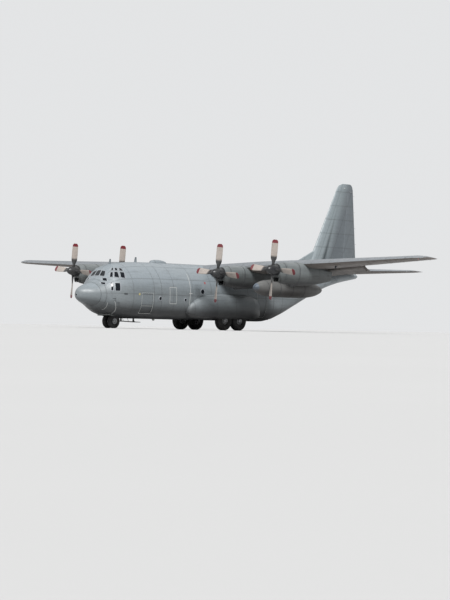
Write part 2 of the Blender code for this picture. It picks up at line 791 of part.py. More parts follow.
LIP_COVE = (
    (FLAP_CUT, -1, 0.6), (FLAP_CUT, 1, -LIP_DEPTH), (LIP_END, 1, -LIP_DEPTH), (LIP_END, 1, 0.6),
    (1.10, 1, 0.6), (1.10, -1, 0.6),
)
COVE_INNER = (2.26, 5.50)
COVE_OUTER = (5.70, 13.53)


CENTRE_SPANS = (0.0, 2.2, CENTRE_HALF_SPAN)
OUTER_SPANS = (CENTRE_HALF_SPAN + SEAT, AILERON_START_X, TIP_X - 0.25, TIP_X + 0.05, SPAN_X)


def wing_notch(left, right):
    rings = [right.ring(s, SEAT) for s in reversed(CENTRE_SPANS[1:])]
    return loft("wing_notch", rings + [left.ring(s, SEAT) for s in CENTRE_SPANS])


def make_wing(skins):
    paint = skins["paint"]
    left, right = wing_of(1), wing_of(-1)
    rings = [right.ring(s) for s in reversed(CENTRE_SPANS[1:])]
    rings += [left.ring(s) for s in CENTRE_SPANS]
    centre = loft("wing_centre", rings, paint)
    for wing, name in ((left, "left"), (right, "right")):
        cut(centre, wing.block(f"inner_cove_{name}", COVE_INNER, LIP_COVE))
        _, inner, outer = FLAPS[0]
        for rail in flap_tracks(wing, f"flap_inner_{name}", inner, outer):
            join(centre, rail)
        make_flap(wing, f"flap_inner_{name}", inner, outer, skins["metal_paint"])

        panel = wing.solid(f"wing_outer_{name}", OUTER_SPANS, paint)
        cut(panel, wing.block(f"outer_cove_{name}", COVE_OUTER, LIP_COVE))
        cut(panel, wing.trailing_cutter(f"aileron_bay_{name}",
                                        (AILERON_START_X, AILERON_END_X), HINGE_CHORD))
        _, inner, outer = FLAPS[1]
        for rail in flap_tracks(wing, f"flap_outer_{name}", inner, outer):
            join(panel, rail)
        make_flap(wing, f"flap_outer_{name}", inner, outer, skins["metal_paint"])
        wing.control(f"aileron_{name}", (AILERON_START_X + RUNNING, AILERON_END_X - RUNNING),
                     HINGE_CHORD, paint, (AILERON_START_X, AILERON_END_X))
    return left, right


# Nacelles: rows of (station, top, bottom, half width) about the propeller's axis

NACELLE = (
    (9.17, 0.42, -0.62, 0.42),
    (9.45, 0.50, -0.86, 0.52),
    (10.20, 0.56, -0.98, 0.60),
    (11.40, 0.58, -1.02, 0.62),
    (12.60, 0.50, -0.96, 0.58),
    (13.60, 0.30, -0.84, 0.50),
    (14.60, 0.05, -0.66, 0.34),
)
NACELLE_POINTS = 16


def hub_height(x):
    return HUB_HEIGHT + (abs(x) - ENGINE_X[0]) * math.tan(DIHEDRAL)


def nacelle_ring(row, x, height):
    station, top, bottom, half = row
    ring = []
    for i in range(NACELLE_POINTS):
        angle = 2 * math.pi * i / NACELLE_POINTS
        sine, cosine = math.sin(angle), math.cos(angle)
        rise = top * cosine if cosine > 0 else -bottom * math.copysign(abs(cosine) ** 0.8, cosine)
        ring.append((x + half * math.copysign(abs(sine) ** 0.85, sine), station, height + rise))
    return ring


def make_engine(skins, wing, x, name):
    x = wing.side * x
    height = hub_height(x)
    nacelle = loft(f"nacelle_{name}", [nacelle_ring(row, x, height) for row in NACELLE],
                   skins["paint"])
    spans = CENTRE_SPANS[1:] if abs(x) < CENTRE_HALF_SPAN else OUTER_SPANS[:2]
    cut(nacelle, wing.solid(f"wing_seat_{name}", spans, grow=SEAT))
    scoop = [(x - 0.27, height - 0.52), (x + 0.27, height - 0.52), (x + 0.20, height - 0.78),
             (x - 0.20, height - 0.78)]
    cut(nacelle, prism(f"intake_{name}", [(a, b) for a, b in scoop], 9.0, 9.75, 1))
    cut(nacelle, turned(f"jet_pipe_{name}", ((0, 0.20), (0.7, 0.20)),
                        (x, 14.00, height - 0.33), (0, 1, 0), segments=14))
    make_propeller(skins, x, height, name)


# share of the radius, chord, thickness, pitch in degrees from the plane of rotation
BLADE = (
    (0.13, 0.17, 0.16, 80),
    (0.25, 0.22, 0.14, 60),
    (0.40, 0.42, 0.09, 45),
    (0.85, 0.46, 0.05, 25),
    (1.00, 0.40, 0.03, 22),
)
SPINNER = (
    (-0.60, 0.04), (-0.54, 0.15), (-0.32, 0.28), (0.02, 0.355), (0.34, 0.36),
)
SHAFT_RADIUS = 0.16


def blade_rings(angle, x, height):
    spin = Matrix.Rotation(angle, 3, "Y")
    rings = []
    for share, chord, thickness, pitch in BLADE:
        turn = math.radians(pitch)
        ring = []
        for k in range(6):
            a = 2 * math.pi * k / 6
            along, across = math.cos(a) * chord / 2, math.sin(a) * thickness / 2
            local = Vector((along * math.cos(turn) - across * math.sin(turn),
                            along * math.sin(turn) + across * math.cos(turn),
                            share * PROP_RADIUS))
            local = spin @ local
            ring.append((x + local.x, PROP_STATION + local.y, height + local.z))
        rings.append(ring)
    return rings


def make_propeller(skins, x, height, name):
    centre = (x, PROP_STATION, height)
    origin = place(*centre)
    item = turned(f"propeller_{name}", SPINNER, centre, (0, 1, 0), skins["dark"],
                  segments=16, origin=origin)
    shaft = turned("shaft", ((0.1, SHAFT_RADIUS), (9.17 - SEAT - PROP_STATION, SHAFT_RADIUS)),
                   centre, (0, 1, 0), segments=10)
    join_now(item, shaft)
    for k in range(BLADES):
        angle = 2 * math.pi * (k + PROP_PHASE) / BLADES
        join_now(item, loft("blade", blade_rings(angle, x, height)))


# Tanks: share of the length, share of the radius
TANK = (
    (0.0, 0.04), (0.01, 0.24), (0.05, 0.55), (0.14, 0.86), (0.28, 1.0),
    (0.66, 1.0), (0.83, 0.82), (0.95, 0.42), (1.0, 0.04),
)


def make_tank(skins, wing, name):
    x = wing.side * TANK_X
    profile = [(share * TANK_LENGTH, radius * TANK_RADIUS) for share, radius in TANK]
    tank = turned(f"fuel_tank_{name}", profile, (x, TANK_NOSE, TANK_HEIGHT), (0, 1, 0),
                  skins["paint"], segments=16)
    outline = [(11.5, TANK_HEIGHT + 0.3), (14.6, TANK_HEIGHT + 0.3), (14.3, 4.6), (12.0, 4.6)]
    pylon = prism(f"pylon_{name}", outline, x - 0.09, x + 0.09, 0)
    cut(pylon, wing.solid(f"pylon_seat_{name}", OUTER_SPANS[:2], grow=SEAT))
    join(tank, pylon)


# Tail

STABILISER_ROWS = (
    (0.0, 24.35, 4.55, 0.12),
    (7.80, 26.118, 1.95, 0.10),
    (7.97, 26.30, 1.70, 0.08),
    (STABILISER_HALF_SPAN, 26.65, 1.15, 0.05),
)
FIN_ROWS = (
    (4.00, 23.20, 6.40, 0.11),
    (11.20, 27.05, 1.95, 0.11),
    (11.50, 27.30, 1.60, 0.09),
    (FIN_TOP, 27.75, 0.95, 0.05),
)
ELEVATOR_SPANS = (1.20, 7.60)
ELEVATOR_HINGE = 0.68
RUDDER_SPANS = (5.35, 11.10)
RUDDER_HINGE = 0.70
DORSAL = ((20.90, 4.60), (24.60, 6.30), (25.60, 4.60))


def make_tail(skins, tail):
    paint = skins["paint"]
    left, right = (Aerofoil(STABILISER_ROWS, STABILISER_HEIGHT, side=side) for side in (1, -1))
    spans = (0.0, 7.80, 7.97, STABILISER_HALF_SPAN)
    rings = [right.ring(s) for s in reversed(spans[1:])] + [left.ring(s) for s in spans]
    plane = loft("stabiliser", rings, paint)
    seat_rings = [half.ring(s, SEAT) for half, s in ((right, 7.80), (left, 0.0), (left, 7.80))]
    cut(tail, loft("stabiliser_seat", seat_rings))
    for half, name in ((left, "left"), (right, "right")):
        cut(plane, half.trailing_cutter(f"elevator_bay_{name}", ELEVATOR_SPANS, ELEVATOR_HINGE))
        half.control(f"elevator_{name}", tuple(s + g for s, g in zip(ELEVATOR_SPANS,
                     (RUNNING, -RUNNING))), ELEVATOR_HINGE, paint, ELEVATOR_SPANS)

    upright = Aerofoil(FIN_ROWS, 0.0, upright=True)
    fin = upright.solid("fin", [row[0] for row in FIN_ROWS], paint)
    dorsal = [[(x, s, h) for x, (s, h) in zip((0.10, 0.10, 0.10), DORSAL)],
              [(x, s, h) for x, (s, h) in zip((-0.10, -0.10, -0.10), DORSAL)]]
    join(fin, loft("dorsal_fin", dorsal))
    cut(fin, fuselage_solid("fin_seat", 18.5, LENGTH, -SEAT))
    cut(fin, loft("fin_stabiliser_seat", seat_rings))
    cut(fin, box("below_fin", (-1, 1), (20, 31), (3.5, 4.45)))
    cut(fin, upright.trailing_cutter("rudder_bay", RUDDER_SPANS, RUDDER_HINGE))
    upright.control("rudder", tuple(s + g for s, g in zip(RUDDER_SPANS, (RUNNING, -RUNNING))),
                    RUDDER_HINGE, paint, RUDDER_SPANS)


# Gear

MAIN_RIM = 0.30
NOSE_RIM = 0.20
TYRE_SEGMENTS = 24


def tyre(name, x, station, height, radius, width, rim, material, origin):
    """A tyre with a flat facet underneath, so that it rests on the ground."""
    segments = TYRE_SEGMENTS
    out = radius / math.cos(math.pi / segments)
    half = width / 2
    wall = out - rim
    profile = [(-half * 0.78, rim), (-half, rim + 0.45 * wall), (-half * 0.84, rim + 0.86 * wall),
               (-half * 0.50, out), (half * 0.50, out), (half * 0.84, rim + 0.86 * wall),
               (half, rim + 0.45 * wall), (half * 0.78, rim)]
    rings = []
    for k in range(segments):
        a = 2 * math.pi * (k + 0.5) / segments
        rings.append([(x + along, station + r * math.sin(a), height - r * math.cos(a))
                      for along, r in profile])
    return loft(name, rings, material, closed_loop=True, origin=origin)



def make_main_gear(skins):
    for side, name in ((1, "left"), (-1, "right")):
        low, high = sided((1.70, 1.84), side)
        leg = box(f"main_leg_{name}", (low, high), (MAIN_AXLES[0] - 0.10, MAIN_AXLES[1] + 0.10),
                  (1.42, MAIN_WELL[2][1] - SEAT), skins["metal"])
        inner_face = MAIN_X - 0.215
        for station, part in zip(MAIN_AXLES, ("front", "rear")):
            axle_height = MAIN_TYRE[0]
            join_now(leg, turned("strut", ((0, 0.068), (0.50, 0.068), (0.50, 0.085),
                                           (0.85, 0.085)),
                                 (side * 1.77, station, axle_height - 0.06), (0, 0, 1),
                                 segments=10))
            join_now(leg, turned("axle", ((0, 0.075), (inner_face - 1.72 - SEAT, 0.075)),
                                 (side * 1.72, station, axle_height), (side, 0, 0),
                                 segments=10))
            origin = place(side * MAIN_X, station, axle_height)
            label = f"{part}_{name}"
            tyre(f"main_tyre_{label}", side * MAIN_X, station, axle_height, *MAIN_TYRE,
                 MAIN_RIM, skins["tyre"], origin)
            seat = MAIN_RIM - SEAT
            turned(f"main_rim_{label}",
                   ((inner_face, 0.13), (inner_face + 0.03, seat), (inner_face + 0.36, seat),
                    (inner_face + 0.34, 0.22), (inner_face + 0.31, 0.16),
                    (inner_face + 0.40, 0.12), (inner_face + 0.42, 0.05)),
                   (0, station, axle_height), (side, 0, 0), skins["rim"], segments=TYRE_SEGMENTS,
                   origin=origin, phase=0.5)


def make_nose_gear(skins):
    station, height = NOSE_AXLE
    roof = DECK_TOP - DECK_DEPTH - SEAT
    leg = turned("nose_leg", ((0, 0.13), (0.16, 0.13), (0.16, 0.10), (roof - 1.05, 0.10)),
                 (0, station, 1.05), (0, 0, 1), skins["metal"], segments=16)
    join_now(leg, prism("drag_brace", ((station - 0.05, 1.10), (station + 0.05, 1.12),
                                       (2.92, roof), (2.80, roof)), -0.06, 0.06, 0))
    lug = NOSE_TYRE_X - NOSE_TYRE[1] / 2 - 0.03
    origin = place(0, station, 1.05)
    fork = turned("nose_steer_fork", ((0, 0.075), (1.05 - SEAT - 0.55, 0.075)),
                  (0, station, 0.55), (0, 0, 1), skins["metal"], segments=14, origin=origin)
    join_now(fork, turned("axle_housing", ((-lug, 0.11), (lug, 0.11)), (0, station, height),
                          (1, 0, 0), segments=16))
    cut(fork, turned("axle_bore", ((-0.5, 0.054), (0.5, 0.054)), (0, station, height),
                     (1, 0, 0), segments=14))
    origin = place(0, station, height)
    seat = NOSE_RIM - SEAT
    face = lug + SEAT
    half_rim = ((face, 0.10), (face + 0.02, seat), (face + 0.31, seat), (face + 0.29, 0.13),
                (face + 0.26, 0.08), (face + 0.31, 0.04))
    rims = turned("nose_rims", ((-face - 0.05, 0.045), (face + 0.05, 0.045)),
                  (0, station, height), (1, 0, 0), skins["rim"], segments=14, origin=origin)
    for side, name in ((1, "left"), (-1, "right")):
        join_now(rims, turned("rim", half_rim, (0, station, height), (side, 0, 0),
                              segments=TYRE_SEGMENTS, phase=0.5))
        tyre(f"nose_tyre_{name}", side * NOSE_TYRE_X, station, height, *NOSE_TYRE, NOSE_RIM,
             skins["tyre"], origin)
    door = prism("nose_gear_door", ((4.02, 0.50), (5.75, 0.44), (5.75, 0.48), (4.02, 0.54)),
                 -0.42, 0.42, 0, skins["dark"])
    for spot in (4.25, 5.45):
        join_now(door, box("door_arm", (-0.04, 0.04), (spot - 0.05, spot + 0.05), (0.47, 0.85)))
    cut(door, fuselage_solid("belly_seat", 3.9, 6.0, -SEAT))


def main():
    clear_scene()
    bpy.context.scene.unit_settings.system = "METRIC"
    skins = {
        "paint": make_material("grey paint", (0.34, 0.38, 0.40), 0.55),
        "radome": make_material("radome", (0.36, 0.40, 0.43), 0.45),
        "dark": make_material("dark paint", (0.05, 0.055, 0.06), 0.5),
        "metal_paint": make_material("flap paint", (0.28, 0.30, 0.31), 0.5),
        "metal": make_material("gear metal", (0.55, 0.56, 0.57), 0.35, 0.8),
        "rim": make_material("wheel metal", (0.62, 0.63, 0.64), 0.4, 0.7),
        "tyre": make_material("rubber", (0.02, 0.02, 0.02), 0.85),
        "glass": make_material("tinted glass", (0.03, 0.04, 0.05), 0.08),
        "floor": make_material("floor", (0.25, 0.26, 0.25), 0.7),
        "seat": make_material("seat cloth", (0.09, 0.10, 0.09), 0.9),
    }
    centre, tail = make_fuselage(skins)
    make_inside(skins)
    make_sponsons(skins)
    left, right = make_wing(skins)
    cut(centre, wing_notch(left, right))
    for wing, name in ((left, "left"), (right, "right")):
        make_engine(skins, wing, ENGINE_X[0], f"inner_{name}")
        make_engine(skins, wing, ENGINE_X[1], f"outer_{name}")
        make_tank(skins, wing, name)
    make_tail(skins, tail)
    make_main_gear(skins)
    make_nose_gear(skins)


if __name__ == "__main__":
    main()
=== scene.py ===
"""Finishes for a four-engine military transport aeroplane on its landing gear, 1:2 scale.

Laid out as a Blender add-on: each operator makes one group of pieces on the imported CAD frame.
Places are the full-size aeroplane's, in metres: x to the left wing tip, station aft from the
nose, height above the ground. place() turns them into the model's.
"""

import json
import math

import bmesh
import bpy
from bpy.props import FloatProperty, FloatVectorProperty, IntProperty, PointerProperty
from mathutils import Matrix, Vector


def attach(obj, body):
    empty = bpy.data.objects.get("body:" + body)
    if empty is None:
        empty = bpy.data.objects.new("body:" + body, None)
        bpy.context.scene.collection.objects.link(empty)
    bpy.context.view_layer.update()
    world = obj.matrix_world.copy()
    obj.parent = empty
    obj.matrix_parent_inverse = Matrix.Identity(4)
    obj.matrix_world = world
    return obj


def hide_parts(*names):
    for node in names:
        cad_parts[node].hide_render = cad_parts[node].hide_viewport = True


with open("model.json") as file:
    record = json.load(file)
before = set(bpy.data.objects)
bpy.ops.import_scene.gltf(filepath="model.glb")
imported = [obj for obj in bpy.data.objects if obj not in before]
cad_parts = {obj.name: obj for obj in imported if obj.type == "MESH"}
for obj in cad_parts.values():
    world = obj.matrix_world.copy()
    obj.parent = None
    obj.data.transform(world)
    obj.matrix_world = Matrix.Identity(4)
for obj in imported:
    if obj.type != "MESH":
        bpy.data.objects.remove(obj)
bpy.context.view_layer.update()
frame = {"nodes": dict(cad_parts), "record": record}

bl_info = {
    "name": "Transport aeroplane finishes",
    "version": (1, 0, 0),
    "blender": (4, 5, 0),
    "location": "View3D > Sidebar > Aeroplane",
    "description": "Skins, paint, glass, propellers, wheels and studio for a transport aeroplane",
    "category": "Object",
}

SCALE = 0.5
LENGTH = 29.79

# Fuselage joints and openings, as the CAD model has them
WALL = 0.12
SEAT = 0.0006
RADOME_JOINT = 1.25
NOSE_JOINT = 6.10
AFT_JOINT = 17.70
CONE_JOINT = 23.60
CREW_DOOR = ((4.28, 5.24), (1.12, 2.44))
PARATROOP_DOOR = ((15.98, 16.90), (1.06, 2.88))
RAMP_OPENING = ((-1.42, 1.42), (17.79, 20.90), (0.3, 3.4))
AFT_DOOR_OPENING = ((1.30, 20.85), (0.752, 23.40))
NOSE_WELL = ((-0.64, 0.64), (2.64, 3.96), (0.3, 1.9))
WHEEL_LINER = ((1.56, 2.56), (11.39, 14.77), (0.90, 1.66))

# station, top, bottom, half width, height of the widest line, power of the lower curve
FUSELAGE = (
    (0.00, 2.28, 2.24, 0.03, 2.26, 2.0),
    (0.08, 2.56, 2.02, 0.20, 2.26, 2.0),
    (0.30, 2.76, 1.86, 0.47, 2.27, 2.0),
    (0.70, 2.94, 1.70, 0.83, 2.28, 2.1),
    (1.25, 3.14, 1.50, 1.17, 2.30, 2.2),
    (1.75, 3.50, 1.29, 1.46, 2.34, 2.4),
    (2.15, 4.00, 1.13, 1.73, 2.40, 2.6),
    (2.60, 4.33, 0.96, 1.92, 2.43, 2.8),
    (3.30, 4.52, 0.80, 2.05, 2.48, 3.0),
    (4.30, 4.63, 0.70, 2.12, 2.49, 3.2),
    (6.10, 4.70, 0.70, 2.16, 2.49, 3.4),
    (17.70, 4.70, 0.70, 2.16, 2.49, 3.4),
    (19.00, 4.70, 1.08, 2.12, 2.62, 3.3),
    (20.60, 4.71, 1.74, 2.00, 2.95, 3.0),
    (22.20, 4.74, 2.38, 1.78, 3.32, 2.7),
    (23.60, 4.76, 2.90, 1.52, 3.64, 2.4),
    (25.60, 4.80, 3.50, 1.08, 4.05, 2.2),
    (27.40, 4.80, 3.90, 0.70, 4.32, 2.0),
    (28.80, 4.72, 4.14, 0.40, 4.42, 2.0),
    (29.79, 4.56, 4.30, 0.10, 4.43, 2.0),
)

# Flight deck panes, (station, height) from the side with how far in each block starts
SIDE_PANES = (
    (0.74, ((2.06, 3.53), (2.20, 3.53), (2.39, 3.87), (2.28, 3.87))),
    (0.90, ((2.27, 3.54), (2.55, 3.50), (2.66, 3.90), (2.47, 3.90))),
    (0.90, ((2.66, 3.53), (2.95, 3.47), (3.09, 3.87), (2.80, 3.90))),
    (0.50, ((2.40, 4.01), (2.50, 4.00), (2.66, 4.18), (2.57, 4.18))),
    (0.60, ((2.58, 4.00), (2.76, 4.00), (2.85, 4.17), (2.73, 4.18))),
    (0.70, ((2.85, 4.00), (3.09, 3.97), (3.13, 4.15), (2.98, 4.17))),
    (0.30, ((1.70, 3.28), (1.85, 3.24), (1.93, 3.45), (1.80, 3.45))),
    (0.45, ((1.48, 3.05), (1.66, 2.98), (1.73, 3.13), (1.55, 3.16))),
    (1.10, ((1.86, 2.60), (1.98, 2.60), (2.07, 3.14), (1.94, 3.14))),
    (1.30, ((2.10, 2.58), (2.42, 2.58), (2.47, 3.12), (2.16, 3.12))),
)
FRONT_PANES = (
    ((-0.22, 3.62), (0.22, 3.62), (0.18, 4.00), (-0.18, 4.00)),
    ((0.29, 3.62), (0.72, 3.58), (0.58, 3.92), (0.25, 3.99)),
    ((-0.29, 3.62), (-0.25, 3.99), (-0.58, 3.92), (-0.72, 3.58)),
)
PANE_FRONT = (1.50, 2.44)
PANE_OUT = 2.40

# Propellers, wheels and tanks
PROPELLERS = {
    "inner_left": (4.94, 4.00), "inner_right": (-4.94, 4.00),
    "outer_left": (10.16, 4.2279), "outer_right": (-10.16, 4.2279),
}
PROP_STATION = 8.80
PROP_RADIUS = 2.055
PROP_PHASE = 0.06
BLADES = 4
MAIN_WHEELS = {
    "front_left": (2.175, 12.32), "rear_left": (2.175, 13.84),
    "front_right": (-2.175, 12.32), "rear_right": (-2.175, 13.84),
}
MAIN_TYRE = (0.71, 0.50, 0.30)
NOSE_TYRE = (0.495, 0.29, 0.20)
NOSE_AXLE = (3.30, 0.495)
NOSE_TYRE_X = 0.275


# Sizes and colours a user would change

class AeroplaneSkin(bpy.types.PropertyGroup):
    around: IntProperty(name="Points around", default=96, min=24, max=192,
                        description="Points round the fuselage skin")
    frame_proud: FloatProperty(name="Pane frame height", default=0.014, unit="LENGTH",
                               description="How far a pane's frame stands off the skin")
    frame_width: FloatProperty(name="Pane frame width", default=0.036, unit="LENGTH",
                               description="Width of the frame round each pane")


class AeroplaneColours(bpy.types.PropertyGroup):
    # The upper, side and belly colours step down to near black under the belly: painted shade of
    # light from above over the blue-grey paint.
    top: FloatVectorProperty(name="Upper paint", subtype="COLOR", size=3,
                             default=(0.215, 0.245, 0.265), description="Upper blue-grey")
    side: FloatVectorProperty(name="Side paint", subtype="COLOR", size=3,
                              default=(0.155, 0.175, 0.185), description="Sides, mid grey")
    belly: FloatVectorProperty(name="Belly paint", subtype="COLOR", size=3,
                               default=(0.013, 0.014, 0.016), description="Dark belly")
    # Under the wing the colour is a warm grey made darker than the upper paint: painted shade on the
    # undersides.
    under_wing: FloatVectorProperty(name="Under the wing", subtype="COLOR", size=3,
                                    default=(0.125, 0.108, 0.098),
                                    description="Warm dark grey under the wing")
    nacelle: FloatVectorProperty(name="Nacelle paint", subtype="COLOR", size=3,
                                 default=(0.135, 0.15, 0.152), description="Cowling grey-green")
    blade: FloatVectorProperty(name="Blade paint", subtype="COLOR", size=3,
                               default=(0.33, 0.29, 0.26), description="Outer blades")
    tip: FloatVectorProperty(name="Blade tip", subtype="COLOR", size=3,
                             default=(0.13, 0.006, 0.012), description="Tip bands")
    floor: FloatVectorProperty(name="Studio floor", subtype="COLOR", size=3,
                               default=(0.49, 0.49, 0.488), description="Pale studio floor")


class AeroplaneStudio(bpy.types.PropertyGroup):
    key: FloatProperty(name="Key light", default=4.5, description="Strength of the key light")
    sky: FloatProperty(name="Surround", default=0.83, description="Strength of the surround")
    lens: FloatProperty(name="Lens", default=122.44, description="Camera lens, mm")


def colours():
    return bpy.context.scene.aeroplane_colours


# Basic shapes

def turns(count, phase=0.0):
    """Angles spaced evenly round a circle."""
    return [2 * math.pi * (k + phase) / count for k in range(count)]


def place(x, station, height):
    return Vector((x * SCALE, (station - LENGTH / 2) * SCALE, height * SCALE))


def raw_mesh(name, points, faces, outward=True):
    """A linked mesh object from full-size places."""
    mesh = bpy.data.meshes.new(name)
    mesh.from_pydata([place(*p) for p in points], [], faces)
    if outward:
        turn_outward(mesh)
    piece = bpy.data.objects.new(name, mesh)
    bpy.context.scene.collection.objects.link(piece)
    return piece


def turn_outward(mesh):
    work = bmesh.new()
    work.from_mesh(mesh)
    bmesh.ops.remove_doubles(work, verts=work.verts, dist=1e-6)
    bmesh.ops.recalc_face_normals(work, faces=work.faces)
    work.to_mesh(mesh)
    work.free()


def loft_faces(count, size, closed_loop=False, ring=True):
    faces = []
    for row in range(count if closed_loop else count - 1):
        after = (row + 1) % count
        for i in range(size if ring else size - 1):
            j = (i + 1) % size
            faces.append((row * size + i, row * size + j, after * size + j, after * size + i))
    if ring and not closed_loop:
        faces.append(tuple(range(size)))
        faces.append(tuple((count - 1) * size + i for i in range(size)))
    return faces


def loft(name, rings, closed_loop=False):
    return raw_mesh(name, [p for ring in rings for p in ring],
                    loft_faces(len(rings), len(rings[0]), closed_loop))


def block(name, x, station, height):
    """A box from three (low, high) pairs."""
    ring = ((0, 0), (1, 0), (1, 1), (0, 1))
    return loft(name, [[(x[i], s, height[j]) for i, j in ring] for s in station])


def prism(name, outline, low, high, axis):
    """An outline pushed along one axis. Its pairs are the other two axes, in order."""
    rings = []
    for along in (low, high):
        ring = []
        for pair in outline:
            values = list(pair)
            values.insert(axis, along)
            ring.append(tuple(values))
        rings.append(ring)
    return loft(name, rings)


def turned(name, profile, centre, axis, segments=32, phase=0.0):
    """(distance along the axis, radius) turned about a line through centre."""
    axis = Vector(axis).normalized()
    side = axis.orthogonal().normalized()
    up = axis.cross(side)
    rings = []
    for along, radius in profile:
        rings.append([
            tuple(Vector(centre) + axis * along + (side * math.cos(a) + up * math.sin(a)) * radius)
            for a in (2 * math.pi * (i + phase) / segments for i in range(segments))
        ])
    return loft(name, rings)


def hoop(name, profile, centre, axis, segments=32):
    """A closed outline of (distance along the axis, radius) turned into a ring."""
    axis = Vector(axis).normalized()
    side = axis.orthogonal().normalized()
    up = axis.cross(side)
    rings = []
    for i in range(segments):
        a = 2 * math.pi * i / segments
        out = side * math.cos(a) + up * math.sin(a)
        rings.append([tuple(Vector(centre) + axis * t + out * r) for t, r in profile])
    return loft(name, rings, closed_loop=True)


def rod(name, start, end, radius, segments=10):
    start, end = Vector(start), Vector(end)
    length = (end - start).length
    return turned(name, ((0, radius), (length, radius)), start, end - start, segments)


def rounded(outline, radius, steps=3):
    """An outline with its corners rounded."""
    count = len(outline)
    points = []
    for i in range(count):
        here = Vector(outline[i])
        before = (Vector(outline[i - 1]) - here)
        after = (Vector(outline[(i + 1) % count]) - here)
        reach = min(radius, 0.45 * before.length, 0.45 * after.length)
        start = here + before.normalized() * reach
        end = here + after.normalized() * reach
        for k in range(steps + 1):
            t = k / steps
            points.append(tuple(start * (1 - t) ** 2 + here * 2 * t * (1 - t) + end * t ** 2))
    return points


def grown(outline, amount):
    """An outline moved out by an amount, or in by a negative one."""
    count = len(outline)
    area = sum(a[0] * b[1] - b[0] * a[1] for a, b in zip(outline, outline[1:] + outline[:1]))
    turn = -1 if area > 0 else 1
    moved = []
    for i in range(count):
        before, here, after = (Vector(outline[(i + k) % count]) for k in (-1, 0, 1))
        first = (here - before).normalized()
        second = (after - here).normalized()
        out_a = Vector((-first.y, first.x)) * turn
        out_b = Vector((-second.y, second.x)) * turn
        middle = (out_a + out_b).normalized()
        moved.append(tuple(here + middle * amount / max(0.3, middle.dot(out_a))))
    return moved


# Putting pieces together

def joined(name, pieces):
    """One object from several, without merging their surfaces."""
    work = bmesh.new()
    for piece in pieces:
        work.from_mesh(piece.data)
        bpy.data.objects.remove(piece)
    mesh = bpy.data.meshes.new(name)
    work.to_mesh(mesh)
    work.free()
    piece = bpy.data.objects.new(name, mesh)
    bpy.context.scene.collection.objects.link(piece)
    return piece


def evaluated_mesh(piece):
    bpy.context.view_layer.update()
    graph = bpy.context.evaluated_depsgraph_get()
    mesh = bpy.data.meshes.new_from_object(piece.evaluated_get(graph))
    piece.modifiers.clear()
    piece.data = mesh
    return piece


def boolean(piece, other, operation, overlapping=False):
    modifier = piece.modifiers.new("Boolean", "BOOLEAN")
    modifier.operation = operation
    modifier.use_self = overlapping
    modifier.object = other
    evaluated_mesh(piece)
    bpy.data.objects.remove(other)
    return piece


def bevelled(piece, width, segments=2, angle=30):
    modifier = piece.modifiers.new("Bevel", "BEVEL")
    modifier.width = width
    modifier.segments = segments
    modifier.limit_method = "ANGLE"
    modifier.angle_limit = math.radians(angle)
    return evaluated_mesh(piece)


def smoothed(piece, angle=30):
    piece.data.shade_smooth()
    piece.data.set_sharp_from_angle(angle=math.radians(angle))
    return piece


def finished(piece, body, material, replaces=(), angle=30):
    """Shades a piece, paints it and hangs it on its body."""
    smoothed(piece, angle)
    piece.data.materials.clear()
    piece.data.materials.append(material)
    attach(piece, body)
    if replaces:
        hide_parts(*replaces)
    return piece


def copied(node, name):
    """A clean copy of a CAD node: its loose triangles merged and flat areas made whole."""
    mesh = frame["nodes"][node].data.copy()
    work = bmesh.new()
    work.from_mesh(mesh)
    bmesh.ops.remove_doubles(work, verts=work.verts, dist=2e-5)
    bmesh.ops.dissolve_limit(work, angle_limit=math.radians(0.6), verts=work.verts,
                             edges=work.edges)
    work.to_mesh(mesh)
    work.free()
    piece = bpy.data.objects.new(name, mesh)
    bpy.context.scene.collection.objects.link(piece)
    return piece


def body_of(node):
    for body, members in frame["record"]["behaviour"]["bodies"].items():
        if node in members:
            return body
    raise ValueError(f"no body holds {node}")


def reskinned(node, material, bevel=0.0, angle=30):
    """A CAD node's own shape with its edges eased and a new finish."""
    piece = copied(node, f"{node}_skin")
    if bevel:
        bevelled(piece, bevel, 2)
    return finished(piece, body_of(node), material, (node,), angle)


# Shader building

